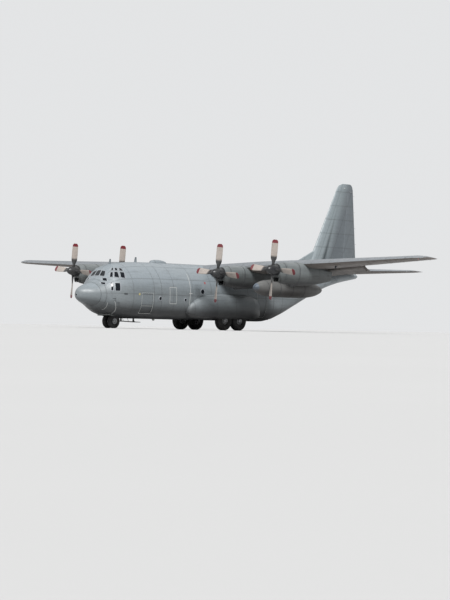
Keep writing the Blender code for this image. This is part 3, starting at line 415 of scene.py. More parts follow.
class Shading:
    """Adds nodes to a tree in few words and hands back their output sockets."""

    def __init__(self, tree):
        self.tree = tree

    def node(self, kind, **settings):
        made = self.tree.nodes.new(kind)
        for name, value in settings.items():
            setattr(made, name, value)
        return made

    def feed(self, socket, value):
        if isinstance(value, bpy.types.NodeSocket):
            self.tree.links.new(value, socket)
        else:
            socket.default_value = value

    def math(self, operation, first, second=0.0, third=0.0):
        made = self.node("ShaderNodeMath", operation=operation)
        for socket, value in zip(made.inputs, (first, second, third)):
            self.feed(socket, value)
        return made.outputs[0]

    def scaled(self, vector, scale, shift=(0, 0, 0)):
        made = self.node("ShaderNodeMapping")
        self.feed(made.inputs["Vector"], vector)
        made.inputs["Scale"].default_value = scale
        made.inputs["Location"].default_value = shift
        return made.outputs[0]

    def parts(self, vector):
        made = self.node("ShaderNodeSeparateXYZ")
        self.feed(made.inputs[0], vector)
        return made.outputs

    def vector(self, x, y, z):
        made = self.node("ShaderNodeCombineXYZ")
        for socket, value in zip(made.inputs, (x, y, z)):
            self.feed(socket, value)
        return made.outputs[0]

    def noise(self, vector, scale, detail=4.0, roughness=0.55):
        made = self.node("ShaderNodeTexNoise")
        self.feed(made.inputs["Vector"], vector)
        self.feed(made.inputs["Scale"], scale)
        made.inputs["Detail"].default_value = detail
        made.inputs["Roughness"].default_value = roughness
        return made.outputs["Fac"]

    def ranged(self, value, low, high, start=0.0, end=1.0, smooth=True):
        made = self.node("ShaderNodeMapRange")
        made.interpolation_type = "SMOOTHSTEP" if smooth else "LINEAR"
        for name, item in (("Value", value), ("From Min", low), ("From Max", high),
                           ("To Min", start), ("To Max", end)):
            self.feed(made.inputs[name], item)
        return made.outputs[0]

    def mix(self, share, first, second, blend="MIX"):
        made = self.node("ShaderNodeMix", data_type="RGBA", blend_type=blend)
        self.feed(made.inputs[0], share)
        for socket, value in ((made.inputs[6], first), (made.inputs[7], second)):
            self.feed(socket, value if isinstance(value, bpy.types.NodeSocket)
                      else (*value[:3], 1.0))
        return made.outputs[2]

    def group(self, name, **values):
        made = self.node("ShaderNodeGroup", node_tree=effect(name))
        for key, value in values.items():
            self.feed(made.inputs[key.replace("_", " ")], value)
        return made.outputs


def new_group(name, inputs, outputs):
    tree = bpy.data.node_groups.new(name, "ShaderNodeTree")
    for label, kind, default in inputs:
        socket = tree.interface.new_socket(label, in_out="INPUT", socket_type=kind)
        if default is not None:
            socket.default_value = default
    for label, kind in outputs:
        tree.interface.new_socket(label, in_out="OUTPUT", socket_type=kind)
    shading = Shading(tree)
    return shading, shading.node("NodeGroupInput").outputs, shading.node("NodeGroupOutput").inputs


def weathering_group():
    """Blotches, streaks along the airflow and grime over a paint colour."""
    s, given, out = new_group("Weathering", (
        ("Vector", "NodeSocketVector", None),
        ("Color", "NodeSocketColor", (0.3, 0.3, 0.3, 1)),
        ("Grime Color", "NodeSocketColor", (0.03, 0.028, 0.025, 1)),
        ("Blotch", "NodeSocketFloat", 0.16),
        ("Streak", "NodeSocketFloat", 0.25),
        ("Roughness", "NodeSocketFloat", 0.5),
    ), (("Color", "NodeSocketColor"), ("Roughness", "NodeSocketFloat")))
    blotch = s.noise(given["Vector"], 0.9, 5.0, 0.6)
    fine = s.noise(given["Vector"], 14.0, 3.0, 0.5)
    flow = s.noise(s.scaled(given["Vector"], (5.0, 0.55, 5.0)), 2.2, 4.0, 0.6)
    lighter = s.mix(s.math("MULTIPLY", s.ranged(blotch, 0.35, 0.7), given["Blotch"]),
                    given["Color"], (0.30, 0.31, 0.31))
    streaks = s.math("MULTIPLY", s.ranged(flow, 0.50, 0.75), given["Streak"])
    dirty = s.mix(streaks, lighter, given["Grime Color"])
    s.feed(out["Color"], s.mix(s.ranged(fine, 0.3, 0.8, 0.0, 0.10), dirty, (0.0, 0.0, 0.0)))
    uneven = s.math("ADD", s.ranged(blotch, 0.3, 0.7, -0.08, 0.10),
                    s.ranged(flow, 0.4, 0.8, 0.0, 0.15))
    s.feed(out["Roughness"], s.math("ADD", given["Roughness"], uneven))
    return s.tree


def panel_line_group():
    """Gaps between skin panels and the rows of fasteners beside them, on a flat (u, v) plane."""
    s, given, out = new_group("Panel lines", (
        ("U", "NodeSocketFloat", 0.0), ("V", "NodeSocketFloat", 0.0),
        ("U Spacing", "NodeSocketFloat", 0.6), ("V Spacing", "NodeSocketFloat", 0.9),
        ("Width", "NodeSocketFloat", 0.006), ("Pitch", "NodeSocketFloat", 0.045),
    ), (("Lines", "NodeSocketFloat"), ("Fasteners", "NodeSocketFloat")))
    soft = s.math("MULTIPLY", given["Width"], 1.8)
    near = {}
    lines = {}
    for axis in "UV":
        half = s.math("MULTIPLY", given[f"{axis} Spacing"], 0.5)
        away = s.math("PINGPONG", given[axis], half)
        near[axis] = away
        lines[axis] = s.ranged(away, given["Width"], soft, 1.0, 0.0)
    s.feed(out["Lines"], s.math("MAXIMUM", lines["U"], lines["V"]))
    dots = []
    pitch_half = s.math("MULTIPLY", given["Pitch"], 0.5)
    for axis, along in (("U", "V"), ("V", "U")):
        beside = s.math("SUBTRACT", near[axis], 0.026)
        step = s.math("PINGPONG", given[along], pitch_half)
        reach = s.math("SQRT", s.math("ADD", s.math("POWER", beside, 2.0),
                                      s.math("POWER", step, 2.0)))
        dots.append(s.ranged(reach, 0.005, 0.008, 1.0, 0.0))
    s.feed(out["Fasteners"], s.math("MAXIMUM", dots[0], dots[1]))
    return s.tree


def grain_group():
    """Fine uneven grain as a height, for rubber, cast metal and floor plates."""
    s, given, out = new_group("Grain", (
        ("Vector", "NodeSocketVector", None), ("Scale", "NodeSocketFloat", 60.0),
    ), (("Height", "NodeSocketFloat"), ("Wear", "NodeSocketFloat")))
    fine = s.noise(given["Vector"], given["Scale"], 6.0, 0.7)
    coarse = s.noise(given["Vector"], s.math("MULTIPLY", given["Scale"], 0.08), 4.0, 0.6)
    s.feed(out["Height"], s.math("ADD", s.math("MULTIPLY", fine, 0.5), coarse))
    s.feed(out["Wear"], s.ranged(coarse, 0.45, 0.7))
    return s.tree


EFFECTS = {"Weathering": weathering_group, "Panel lines": panel_line_group,
           "Grain": grain_group}


def effect(name):
    return bpy.data.node_groups.get(name) or EFFECTS[name]()


def new_material(name, color, roughness=0.5, metallic=0.0, **extra):
    """A material, its shading helper, its shader and its Object coordinates."""
    material = bpy.data.materials.new(name)
    material.use_nodes = True
    shader = material.node_tree.nodes["Principled BSDF"]
    shader.inputs["Base Color"].default_value = (*color[:3], 1.0)
    shader.inputs["Roughness"].default_value = roughness
    shader.inputs["Metallic"].default_value = metallic
    for key, value in extra.items():
        shader.inputs[key.replace("_", " ")].default_value = value
    material.diffuse_color = (*color[:3], 1.0)
    shading = Shading(material.node_tree)
    return material, shading, shader, shading.node("ShaderNodeTexCoord").outputs["Object"]


def raise_surface(s, shader, height, distance=0.002, strength=0.6):
    bump = s.node("ShaderNodeBump")
    bump.inputs["Strength"].default_value = strength
    bump.inputs["Distance"].default_value = distance
    s.feed(bump.inputs["Height"], height)
    s.feed(shader.inputs["Normal"], bump.outputs[0])


def painted(name, colour_of, plane_of, roughness=0.46, spacing=(0.62, 0.95), blotch=0.12,
            streak=0.22, width=0.0045, line_tone=0.55):
    """Weathered paint over panels. colour_of and plane_of read the Object coordinates."""
    material, s, shader, coords = new_material(name, (0.3, 0.33, 0.35), roughness,
                                               Specular_IOR_Level=0.45)
    colour = colour_of(s, coords)
    u, v = plane_of(s, coords)
    lines = s.group("Panel lines", U=u, V=v, U_Spacing=spacing[0], V_Spacing=spacing[1],
                    Width=width)
    aged = s.group("Weathering", Vector=coords, Color=colour, Blotch=blotch, Streak=streak,
                   Roughness=roughness)
    tone = s.math("MULTIPLY", lines["Lines"], line_tone)
    lined = s.mix(tone, aged["Color"], (0.02, 0.02, 0.02))
    s.feed(shader.inputs["Base Color"],
           s.mix(s.math("MULTIPLY", lines["Fasteners"], 0.35), lined, (0.02, 0.02, 0.02)))
    s.feed(shader.inputs["Roughness"], aged["Roughness"])
    raise_surface(s, shader, s.math("SUBTRACT", s.math("MULTIPLY", lines["Fasteners"], 0.4),
                                    lines["Lines"]), 0.003, 0.7)
    return material


def round_plane(s, coords):
    """Round the fuselage and along it."""
    x, y, z = s.parts(coords)
    angle = s.math("ARCTAN2", x, s.math("SUBTRACT", z, 1.2))
    return s.math("MULTIPLY", angle, 1.08), y


def flat_plane(s, coords):
    """Seen from above."""
    x, y, _ = s.parts(coords)
    return x, s.math("ADD", y, s.math("MULTIPLY", s.math("ABSOLUTE", x), -0.033))


def side_plane(s, coords):
    """Seen from the side."""
    _, y, z = s.parts(coords)
    return s.math("SUBTRACT", y, s.math("MULTIPLY", z, 0.5)), z


def tones_shaded_by_height(low, middle, high, heights):
    """Belly, side and upper colours, blended softly by height in model metres: painted shade, darker
    low down and lighter on top as if lit from above.
    """
    def colour(s, coords):
        _, _, z = s.parts(coords)
        waver = s.math("MULTIPLY", s.math("SUBTRACT", s.noise(coords, 0.8, 3.0), 0.5), 0.10)
        height = s.math("ADD", z, waver)
        lower = s.mix(s.ranged(height, heights[0], heights[1]), low, middle)
        return s.mix(s.ranged(height, heights[2], heights[3]), lower, high)
    return colour


def plain(color):
    def colour(s, coords):
        return s.mix(0.0, color, color)
    return colour


def fuselage_paint_and_shade():
    # Near black under the belly and lighter on top: painted shade of light from above.
    c = colours()
    return painted("fuselage paint and shade", tones_shaded_by_height(c.belly, c.side, c.top, (0.55, 1.05, 1.25, 1.75)),
                   round_plane, 0.42, (0.565, 0.95))


def radome_paint_and_shade():
    # The radome too is darker underneath and lighter on top as painted shade.
    c = colours()
    return painted("radome paint", tones_shaded_by_height(c.belly, c.side, c.top, (0.62, 1.10, 1.20, 1.50)),
                   round_plane, 0.36, (50.0, 50.0), 0.06, 0.10, 0.003)


def wing_top_paint():
    return painted("wing upper paint", plain((0.19, 0.205, 0.22)), flat_plane, 0.40,
                   (0.80, 0.62), streak=0.15)


# The lower paints of wings, tail and flaps are darker than the upper paint: painted shade under
# them, over a warm grey.
def wing_under_paint_and_shade():
    return painted("wing lower paint and shade", plain(colours().under_wing), flat_plane, 0.50,
                   (0.80, 0.62), streak=0.45)


def flap_under_paint_and_shade():
    return painted("flap lower paint and shade", plain((0.165, 0.15, 0.14)), flat_plane, 0.5,
                   (0.55, 0.40), streak=0.35)


def tail_paint():
    """The fin: lighter to the front, darker to the rear."""
    def colour(s, coords):
        _, y, z = s.parts(coords)
        aft = s.math("SUBTRACT", y, s.math("MULTIPLY", s.math("SUBTRACT", z, 2.3), 0.42))
        return s.mix(s.ranged(aft, 4.9, 5.5), (0.22, 0.255, 0.27), (0.12, 0.137, 0.15))
    return painted("fin paint", colour, side_plane, 0.42, (0.70, 0.55), streak=0.12)


def nacelle_paint_and_shade():
    c = colours()
    # Near black under the nacelle and dark along its lower sides, grey-green on top: painted shade
    # of light from above.
    return painted("nacelle paint", tones_shaded_by_height((0.012, 0.013, 0.014), (0.06, 0.066, 0.066),
                                                c.nacelle, (1.62, 1.80, 1.80, 2.06)),
                   flat_plane, 0.42, (0.42, 0.55), streak=0.40, width=0.004)


def tank_paint_and_shade():
    def colour(s, coords):
        _, y, z = s.parts(coords)
        nose = s.mix(s.ranged(y, -2.47, -2.44), (0.12, 0.15, 0.19), (0.115, 0.115, 0.112))
        # Below the tank's middle the colour turns near black: painted shade on the tank's underside,
        # over the grey paint and blue-grey nose cap.
        return s.mix(s.ranged(z, 1.34, 1.60), (0.045, 0.041, 0.038), nose)
    return painted("tank paint and shade", colour, flat_plane, 0.38, (60.0, 0.55), streak=0.18)


def shade_and_seam_paint():
    # Near black: on the ramp, aft door and nose gear door it is painted shade under the body; on
    # nacelle bands, cooler and tank seams it is their own dark colour.
    return painted("belly shade and seam paint", plain((0.030, 0.032, 0.035)), flat_plane, 0.5, (0.5, 0.5))


def glass():
    # Opaque and near black: painted shade of the dark inside behind panes and lamp lenses.
    material, s, shader, coords = new_material("tinted glass", (0.008, 0.010, 0.013), 0.06,
                                               Specular_IOR_Level=0.25)
    s.feed(shader.inputs["Roughness"], s.ranged(s.noise(coords, 3.0), 0.4, 0.7, 0.04, 0.12))
    return material


def pane_frame_paint():
    material, s, shader, coords = new_material("pane frame paint", (0.25, 0.27, 0.29), 0.4)
    aged = s.group("Weathering", Vector=coords, Color=(0.25, 0.27, 0.29, 1), Roughness=0.4)
    s.feed(shader.inputs["Base Color"], aged["Color"])
    s.feed(shader.inputs["Roughness"], aged["Roughness"])
    return material


def worn_metal(name, color, roughness, metallic, grain=40.0, dirt=(0.03, 0.028, 0.025)):
    material, s, shader, coords = new_material(name, color, roughness, metallic)
    rough = s.group("Grain", Vector=coords, Scale=grain)
    s.feed(shader.inputs["Base Color"],
           s.mix(s.math("MULTIPLY", rough["Wear"], 0.35), color, dirt))
    s.feed(shader.inputs["Roughness"],
           s.math("ADD", roughness, s.math("MULTIPLY", rough["Wear"], 0.2)))
    raise_surface(s, shader, rough["Height"], 0.001, 0.25)
    return material


def rubber():
    material, s, shader, coords = new_material("tyre rubber", (0.016, 0.016, 0.017), 0.8)
    rough = s.group("Grain", Vector=coords, Scale=90.0)
    s.feed(shader.inputs["Base Color"],
           s.mix(rough["Wear"], (0.013, 0.013, 0.014), (0.045, 0.042, 0.038)))
    s.feed(shader.inputs["Roughness"], s.ranged(rough["Wear"], 0.0, 1.0, 0.72, 0.9))
    raise_surface(s, shader, rough["Height"], 0.0015, 0.3)
    return material


def blade_paint():
    """Dark root, pale outer blade and a red band at the tip, by the share of the radius."""
    c = colours()
    material, s, shader, coords = new_material("blade paint", c.blade, 0.45)
    share = s.node("ShaderNodeAttribute", attribute_name="blade_share").outputs["Fac"]
    ragged = s.math("ADD", share, s.math("MULTIPLY", s.math("SUBTRACT",
                                                            s.noise(coords, 9.0), 0.5), 0.05))
    outer = s.mix(s.ranged(ragged, 0.40, 0.50), (0.016, 0.016, 0.017), c.blade)
    banded = s.mix(s.ranged(share, 0.885, 0.890), outer, c.tip)
    aged = s.group("Weathering", Vector=coords, Color=banded, Blotch=0.10, Streak=0.25,
                   Roughness=0.42)
    s.feed(shader.inputs["Base Color"], aged["Color"])
    s.feed(shader.inputs["Roughness"], aged["Roughness"])
    return material


def floor_plate():
    material, s, shader, coords = new_material("floor plates", (0.20, 0.21, 0.20), 0.6, 0.3)
    x, y, _ = s.parts(coords)
    lines = s.group("Panel lines", U=x, V=y, U_Spacing=0.5, V_Spacing=0.75, Width=0.006)
    aged = s.group("Weathering", Vector=coords, Color=(0.20, 0.21, 0.20, 1), Roughness=0.55)
    s.feed(shader.inputs["Base Color"], s.mix(lines["Lines"], aged["Color"], (0.02, 0.02, 0.02)))
    s.feed(shader.inputs["Roughness"], aged["Roughness"])
    return material


def cloth():
    material, s, shader, coords = new_material("seat cloth", (0.05, 0.06, 0.05), 0.9,
                                               Sheen_Weight=0.2)
    x, y, z = s.parts(coords)
    weave = s.math("MULTIPLY", s.math("SINE", s.math("MULTIPLY", s.math("ADD", x, y), 900.0)),
                   s.math("SINE", s.math("MULTIPLY", s.math("ADD", z, y), 900.0)))
    s.feed(shader.inputs["Base Color"],
           s.mix(s.ranged(s.noise(coords, 12.0), 0.3, 0.7), (0.04, 0.05, 0.04), (0.07, 0.08, 0.06)))
    raise_surface(s, shader, weave, 0.0008, 0.4)
    return material


def lamp(name, color, strength):
    """A lamp lens, softly lit from inside."""
    material, s, shader, coords = new_material(name, color, 0.12, Coat_Weight=0.5,
                                               Emission_Strength=strength)
    shader.inputs["Emission Color"].default_value = (*color, 1.0)
    cells = s.noise(coords, 160.0, 1.0)
    raise_surface(s, shader, cells, 0.0008, 0.4)
    return material


def marking_paint(name, color):
    material, s, shader, coords = new_material(name, color, 0.55)
    worn = s.ranged(s.noise(coords, 20.0, 5.0, 0.7), 0.45, 0.75, 0.0, 0.45)
    s.feed(shader.inputs["Base Color"], s.mix(worn, color, colours().side))
    return material


MAKERS = {
    "fuselage": fuselage_paint_and_shade, "radome": radome_paint_and_shade, "wing_top": wing_top_paint,
    "wing_under": wing_under_paint_and_shade, "flap_under": flap_under_paint_and_shade, "fin": tail_paint,
    "nacelle": nacelle_paint_and_shade, "tank": tank_paint_and_shade, "dark": shade_and_seam_paint, "glass": glass,
    "pane_frame": pane_frame_paint, "rubber": rubber, "blade": blade_paint,
    "floor_plate": floor_plate, "cloth": cloth,
    "gear_enamel": lambda: worn_metal("gear enamel", (0.36, 0.37, 0.38), 0.38, 0.0, 30.0),
    "chrome": lambda: worn_metal("chromed piston", (0.75, 0.76, 0.78), 0.12, 1.0, 20.0),
    "alloy": lambda: worn_metal("wheel alloy", (0.42, 0.43, 0.44), 0.42, 0.55, 60.0),
    "dark_metal": lambda: worn_metal("dark metal", (0.035, 0.035, 0.037), 0.45, 0.6, 40.0),
    "spinner": lambda: worn_metal("spinner enamel", (0.018, 0.019, 0.021), 0.35, 0.0, 25.0,
                                  (0.07, 0.07, 0.065)),
    "pipe": lambda: worn_metal("burnt steel", (0.11, 0.095, 0.085), 0.5, 0.8, 30.0),
    "lining": lambda: worn_metal("well lining", (0.16, 0.17, 0.165), 0.6, 0.0, 25.0),
    "panel_black": lambda: worn_metal("panel black", (0.018, 0.018, 0.019), 0.6, 0.0, 50.0),
    "white_mark": lambda: marking_paint("pale marking", (0.42, 0.43, 0.42)),
    "red_mark": lambda: marking_paint("red marking", (0.35, 0.03, 0.03)),
    "yellow_mark": lambda: marking_paint("yellow marking", (0.40, 0.34, 0.14)),
    "seam": lambda: marking_paint("seam shadow", (0.025, 0.027, 0.03)),
    "clear_lamp": lambda: lamp("clear lamp", (0.42, 0.43, 0.41), 0.05),
    "red_lamp": lambda: lamp("red lamp", (0.55, 0.02, 0.02), 0.3),
    "green_lamp": lambda: lamp("green lamp", (0.02, 0.40, 0.12), 0.3),
}
_made = {}


def finish_named(name):
    if name not in _made:
        _made[name] = MAKERS[name]()
    return _made[name]


# The fuselage's own shape

def row_slopes():
    """Slopes of each column of FUSELAGE that never overshoot between rows."""
    slopes = []
    for column in range(1, 6):
        steps = [(b[column] - a[column]) / (b[0] - a[0]) for a, b in zip(FUSELAGE, FUSELAGE[1:])]
        values = [steps[0]]
        for before, after in zip(steps, steps[1:]):
            same_way = before * after > 0
            values.append(2 * before * after / (before + after) if same_way else 0.0)
        slopes.append(values + [steps[-1]])
    return slopes


ROW_SLOPES = row_slopes()


def section_at(station):
    station = min(max(station, 0.0), LENGTH)
    for index, (low, high) in enumerate(zip(FUSELAGE, FUSELAGE[1:])):
        if station <= high[0]:
            break
    width = high[0] - low[0]
    t = (station - low[0]) / width
    values = []
    for column in range(1, 6):
        a, b = low[column], high[column]
        slope_a, slope_b = (ROW_SLOPES[column - 1][index + k] * width for k in (0, 1))
        values.append((2 * t ** 3 - 3 * t ** 2 + 1) * a + (t ** 3 - 2 * t ** 2 + t) * slope_a
                      + (3 * t ** 2 - 2 * t ** 3) * b + (t ** 3 - t ** 2) * slope_b)
    return values


def body_ring(station, inset, count):
    top, bottom, half, widest, power = section_at(station)
    ring = []
    for i in range(count):
        angle = 2 * math.pi * i / count
        sine, cosine = math.sin(angle), math.cos(angle)
        if cosine >= 0:
            x = (half - inset) * sine
            height = widest + (top - inset - widest) * cosine
        else:
            x = (half - inset) * math.copysign(abs(sine) ** (2 / power), sine)
            height = widest - (widest - bottom - inset) * abs(cosine) ** (2 / power)
        ring.append((x, station, height))
    return ring


def skin_x(station, height, lift=0.0):
    """Half width of the skin at a height, plus a lift off it."""
    top, bottom, half, widest, power = section_at(station)
    if height >= widest:
        share = (height - widest) / (top + lift - widest)
        return (half + lift) * math.sqrt(max(0.0, 1 - share ** 2))
    share = (widest - height) / (widest - bottom + lift)
    return (half + lift) * max(0.0, 1 - share ** power) ** (1 / power)


def skin_stations(start, end):
    """Rows close together at the nose and further apart along the barrel."""
    found = [start]
    here = start
    while here < end:
        here += min(0.45, 0.03 + 0.09 * here)
        if here < end - 0.02:
            found.append(here)
    return found + [end]


def body_shell(name, start, end, outer=0.0, inner=WALL, hollow=None):
    """A tube of skin from start to end, hollow between the two stations given, or all along."""
    count = bpy.context.scene.aeroplane_skin.around
    rings = [body_ring(s, outer, count) for s in skin_stations(start, end)]
    inside = skin_stations(*(hollow or (start, end)))
    rings += [body_ring(s, inner, count) for s in reversed(inside)]
    return loft(name, rings, closed_loop=True)


def skin_patch(name, corners, side, lift=0.010, steps=(6, 3)):
    """A thin painted patch on the skin between four (station, height) corners."""
    points = []
    for i in range(steps[0] + 1):
        for j in range(steps[1] + 1):
            u, v = i / steps[0], j / steps[1]
            low = Vector(corners[0]).lerp(Vector(corners[1]), u)
            high = Vector(corners[3]).lerp(Vector(corners[2]), u)
            s, h = low.lerp(high, v)
            points.append((side * skin_x(s, h, lift), s, h))
    size = steps[1] + 1
    faces = []
    for i in range(steps[0]):
        for j in range(steps[1]):
            quad = (i * size + j, i * size + j + 1, (i + 1) * size + j + 1, (i + 1) * size + j)
            faces.append(quad if side < 0 else quad[::-1])
    return raw_mesh(name, points, faces, outward=False)


def skin_line(name, start, end, width, side, lift=0.010, steps=8):
    """A thin painted line on the skin from one (station, height) to another."""
    start, end = Vector(start), Vector(end)
    across = (end - start).normalized().orthogonal() * width / 2
    corners = (start - across, end - across, end + across, start + across)
    return skin_patch(name, [tuple(c) for c in corners], side, lift, (steps, 1))


def pane_blocks(name, growth):
    """Blocks through the skin at each flight deck pane, with round corners."""
    made = []
    for inner, outline in SIDE_PANES:
        shape = rounded(grown(outline, growth), 0.035 + growth)
        made.append(prism("pane", shape, inner, PANE_OUT, 0))
        made.append(prism("pane", shape, -PANE_OUT, -inner, 0))
    for outline in FRONT_PANES:
        made.append(prism("pane", rounded(grown(outline, growth), 0.05), *PANE_FRONT, 1))
    return joined(name, made)


# Geometry Nodes for what repeats

def new_tree(name, inputs):
    tree = bpy.data.node_groups.new(name, "GeometryNodeTree")
    tree.interface.new_socket("Geometry", in_out="OUTPUT", socket_type="NodeSocketGeometry")
    for label, kind, default in inputs:
        socket = tree.interface.new_socket(label, in_out="INPUT", socket_type=kind)
        if default is not None:
            socket.default_value = default
    build = Shading(tree)
    return build, build.node("NodeGroupInput").outputs, build.node("NodeGroupOutput").inputs


def ring_tree():
    """Copies of one piece spaced round a line through Centre along Axis Turn."""
    t, given, out = new_tree("Copies in a ring", (
        ("Piece", "NodeSocketObject", None), ("Material", "NodeSocketMaterial", None),
        ("Count", "NodeSocketInt", 6), ("Radius", "NodeSocketFloat", 0.1),
        ("Phase", "NodeSocketFloat", 0.0), ("Centre", "NodeSocketVector", None),
        ("Axis Turn", "NodeSocketVector", None),
    ))
    points = t.node("GeometryNodePoints")
    t.feed(points.inputs["Count"], given["Count"])
    index = t.node("GeometryNodeInputIndex").outputs[0]
    share = t.math("DIVIDE", t.math("ADD", index, given["Phase"]), given["Count"])
    angle = t.math("MULTIPLY", share, 2 * math.pi)
    spot = t.vector(t.math("MULTIPLY", t.math("COSINE", angle), given["Radius"]),
                    t.math("MULTIPLY", t.math("SINE", angle), given["Radius"]), 0.0)
    placed = t.node("GeometryNodeSetPosition")
    t.feed(placed.inputs["Geometry"], points.outputs[0])
    t.feed(placed.inputs["Position"], spot)
    source = t.node("GeometryNodeObjectInfo")
    t.feed(source.inputs["Object"], given["Piece"])
    copies = t.node("GeometryNodeInstanceOnPoints")
    t.feed(copies.inputs["Points"], placed.outputs[0])
    t.feed(copies.inputs["Instance"], source.outputs["Geometry"])
    t.feed(copies.inputs["Rotation"], t.vector(0.0, 0.0, angle))
    moved = t.node("GeometryNodeTransform")
    t.feed(moved.inputs["Geometry"], copies.outputs[0])
    t.feed(moved.inputs["Rotation"], given["Axis Turn"])
    t.feed(moved.inputs["Translation"], given["Centre"])
    close_tree(t, moved.outputs[0], given["Material"], out[0])
    return t.tree


def line_tree():
    """Copies of one piece spaced along a straight line."""
    t, given, out = new_tree("Copies along a line", (
        ("Piece", "NodeSocketObject", None), ("Material", "NodeSocketMaterial", None),
        ("Count", "NodeSocketInt", 6), ("Start", "NodeSocketVector", None),
        ("End", "NodeSocketVector", None), ("Turn", "NodeSocketVector", None),
    ))
    line = t.node("GeometryNodeMeshLine", mode="END_POINTS")
    t.feed(line.inputs["Count"], given["Count"])
    t.feed(line.inputs["Start Location"], given["Start"])
    t.feed(line.inputs["Offset"], given["End"])
    source = t.node("GeometryNodeObjectInfo")
    t.feed(source.inputs["Object"], given["Piece"])
    copies = t.node("GeometryNodeInstanceOnPoints")
    t.feed(copies.inputs["Points"], line.outputs[0])
    t.feed(copies.inputs["Instance"], source.outputs["Geometry"])
    t.feed(copies.inputs["Rotation"], given["Turn"])
    close_tree(t, copies.outputs[0], given["Material"], out[0])
    return t.tree


def close_tree(t, geometry, material, output):
    real = t.node("GeometryNodeRealizeInstances")
    t.feed(real.inputs[0], geometry)
    painted_copies = t.node("GeometryNodeSetMaterial")
    t.feed(painted_copies.inputs["Geometry"], real.outputs[0])
    t.feed(painted_copies.inputs["Material"], material)
    t.feed(output, painted_copies.outputs[0])


TREES = {"Copies in a ring": ring_tree, "Copies along a line": line_tree}


def spread(name, tree_name, piece, material, **values):
    """Runs one of the trees over a small piece and returns the plain mesh."""
    tree = bpy.data.node_groups.get(tree_name) or TREES[tree_name]()
    made = bpy.data.objects.new(name, bpy.data.meshes.new(name))
    bpy.context.scene.collection.objects.link(made)
    modifier = made.modifiers.new("Repeat", "NODES")
    modifier.node_group = tree
    values.update(Piece=piece, Material=material)
    for item in tree.interface.items_tree:
        if item.in_out == "INPUT":
            key = item.name.replace(" ", "_")
            modifier[item.identifier] = values[key]
    evaluated_mesh(made)
    return made


def small_piece(name, rings, closed_loop=False):
    """A piece in model metres about the origin, for a tree to copy."""
    mesh = bpy.data.meshes.new(name)
    mesh.from_pydata([p for ring in rings for p in ring], [],
                     loft_faces(len(rings), len(rings[0]), closed_loop))
    turn_outward(mesh)
    piece = bpy.data.objects.new(name, mesh)
    bpy.context.scene.collection.objects.link(piece)
    return smoothed(piece, 35)


def stud(name, radius, height, segments=6):
    rings = []
    for z, r in ((-0.3 * height, radius), (height * 0.7, radius), (height, radius * 0.7)):
        rings.append([(r * math.cos(a), r * math.sin(a), z)
                      for a in turns(segments)])
    return small_piece(name, rings)


# The operators

class AeroplaneOperator(bpy.types.Operator):
    bl_options = {"REGISTER", "UNDO"}

    def execute(self, context):
        self.make(context.scene)
        return {"FINISHED"}


class MakeFuselage(AeroplaneOperator):
    """Smooth fuselage skins with their openings, doors and the wheel fairings"""
    bl_idname = "aeroplane.fuselage"
    bl_label = "Fuselage"

    def make(self, scene):
        paint = finish_named("fuselage")
        lining = finish_named("lining")
        radome = body_shell("radome_skin", 0.0, RADOME_JOINT - 0.004, 0.0, 0.05,
                            (0.15, RADOME_JOINT - 0.004))
        finished(self.pointed(radome, 0.0, 2.26), "airframe",
                 finish_named("radome"), ("radome",), 40)
        nose = body_shell("nose_skin", RADOME_JOINT + 0.004, NOSE_JOINT - 0.003)
        boolean(nose, pane_blocks("pane_openings", 0.0), "DIFFERENCE")
        boolean(nose, block("nose_well", *NOSE_WELL), "DIFFERENCE")
        stations, heights = CREW_DOOR
        boolean(nose, prism("crew_opening", rounded([
            (stations[0], heights[0]), (stations[1], heights[0]), (stations[1], heights[1]),
            (stations[0], heights[1])], 0.06), 1.2, 2.6, 0), "DIFFERENCE")
        finished(nose, "airframe", paint, ("nose_section",), 40)
        wall = self.front_wall()
        finished(wall, "airframe", lining)

        centre = body_shell("centre_skin", NOSE_JOINT + 0.003, AFT_JOINT - 0.003)
        stations, heights = PARATROOP_DOOR
        for side in (1, -1):
            reach = sorted((1.5 * side, 2.6 * side))
            boolean(centre, block("door_opening", reach, stations, heights), "DIFFERENCE")
            liner = [sorted(side * v for v in WHEEL_LINER[0]), *WHEEL_LINER[1:]]
            boolean(centre, block("liner_notch", *liner), "DIFFERENCE")
        finished(centre, "airframe", paint, ("centre_fuselage",), 40)

        aft = body_shell("aft_skin", AFT_JOINT + 0.003, CONE_JOINT - 0.003)
        boolean(aft, block("ramp_opening", *RAMP_OPENING), "DIFFERENCE")
        boolean(aft, self.aft_door_block(), "DIFFERENCE")
        finished(aft, "airframe", paint, ("aft_fuselage",), 40)

        tail = body_shell("tail_cone_skin", CONE_JOINT + 0.003, LENGTH, 0.0, 0.08,
                          (CONE_JOINT + 0.003, LENGTH - 0.4))
        finished(self.pointed(tail, LENGTH, 4.43), "airframe", paint,
                 ("tail_cone",), 40)

        for node in ("crew_door", "paratroop_door_left", "paratroop_door_right"):
            reskinned(node, paint)
        # The ramp, aft door and nose gear door under the body are near black as painted shade.
        for node in ("cargo_ramp", "aft_cargo_door", "nose_gear_door"):
            reskinned(node, finish_named("dark"), 0.003)
        for side in ("left", "right"):
            reskinned(f"sponson_{side}", paint, 0.0, 40)

    def pointed(self, piece, station, height):
        """Closes the end ring of a tube to one point."""
        work = bmesh.new()
        work.from_mesh(piece.data)
        tip = place(0, station, height)
        near = [v for v in work.verts if abs(v.co.y - tip.y) < 1e-4]
        bmesh.ops.pointmerge(work, verts=near, merge_co=tip)
        work.to_mesh(piece.data)
        work.free()
        return piece

    def front_wall(self):
        """The pressure wall between the radome and the nose."""
        count = bpy.context.scene.aeroplane_skin.around
        rings = [body_ring(s, 0.03, count) for s in (RADOME_JOINT + 0.005, RADOME_JOINT + WALL)]
        return loft("nose_wall", rings)

    def aft_door_block(self):
        rings = []
        for half, station in AFT_DOOR_OPENING:
            rings.append([(-half, station, 0.3), (half, station, 0.3), (half, station, 3.3),
                          (-half, station, 3.3)])
        return loft("aft_opening", rings)


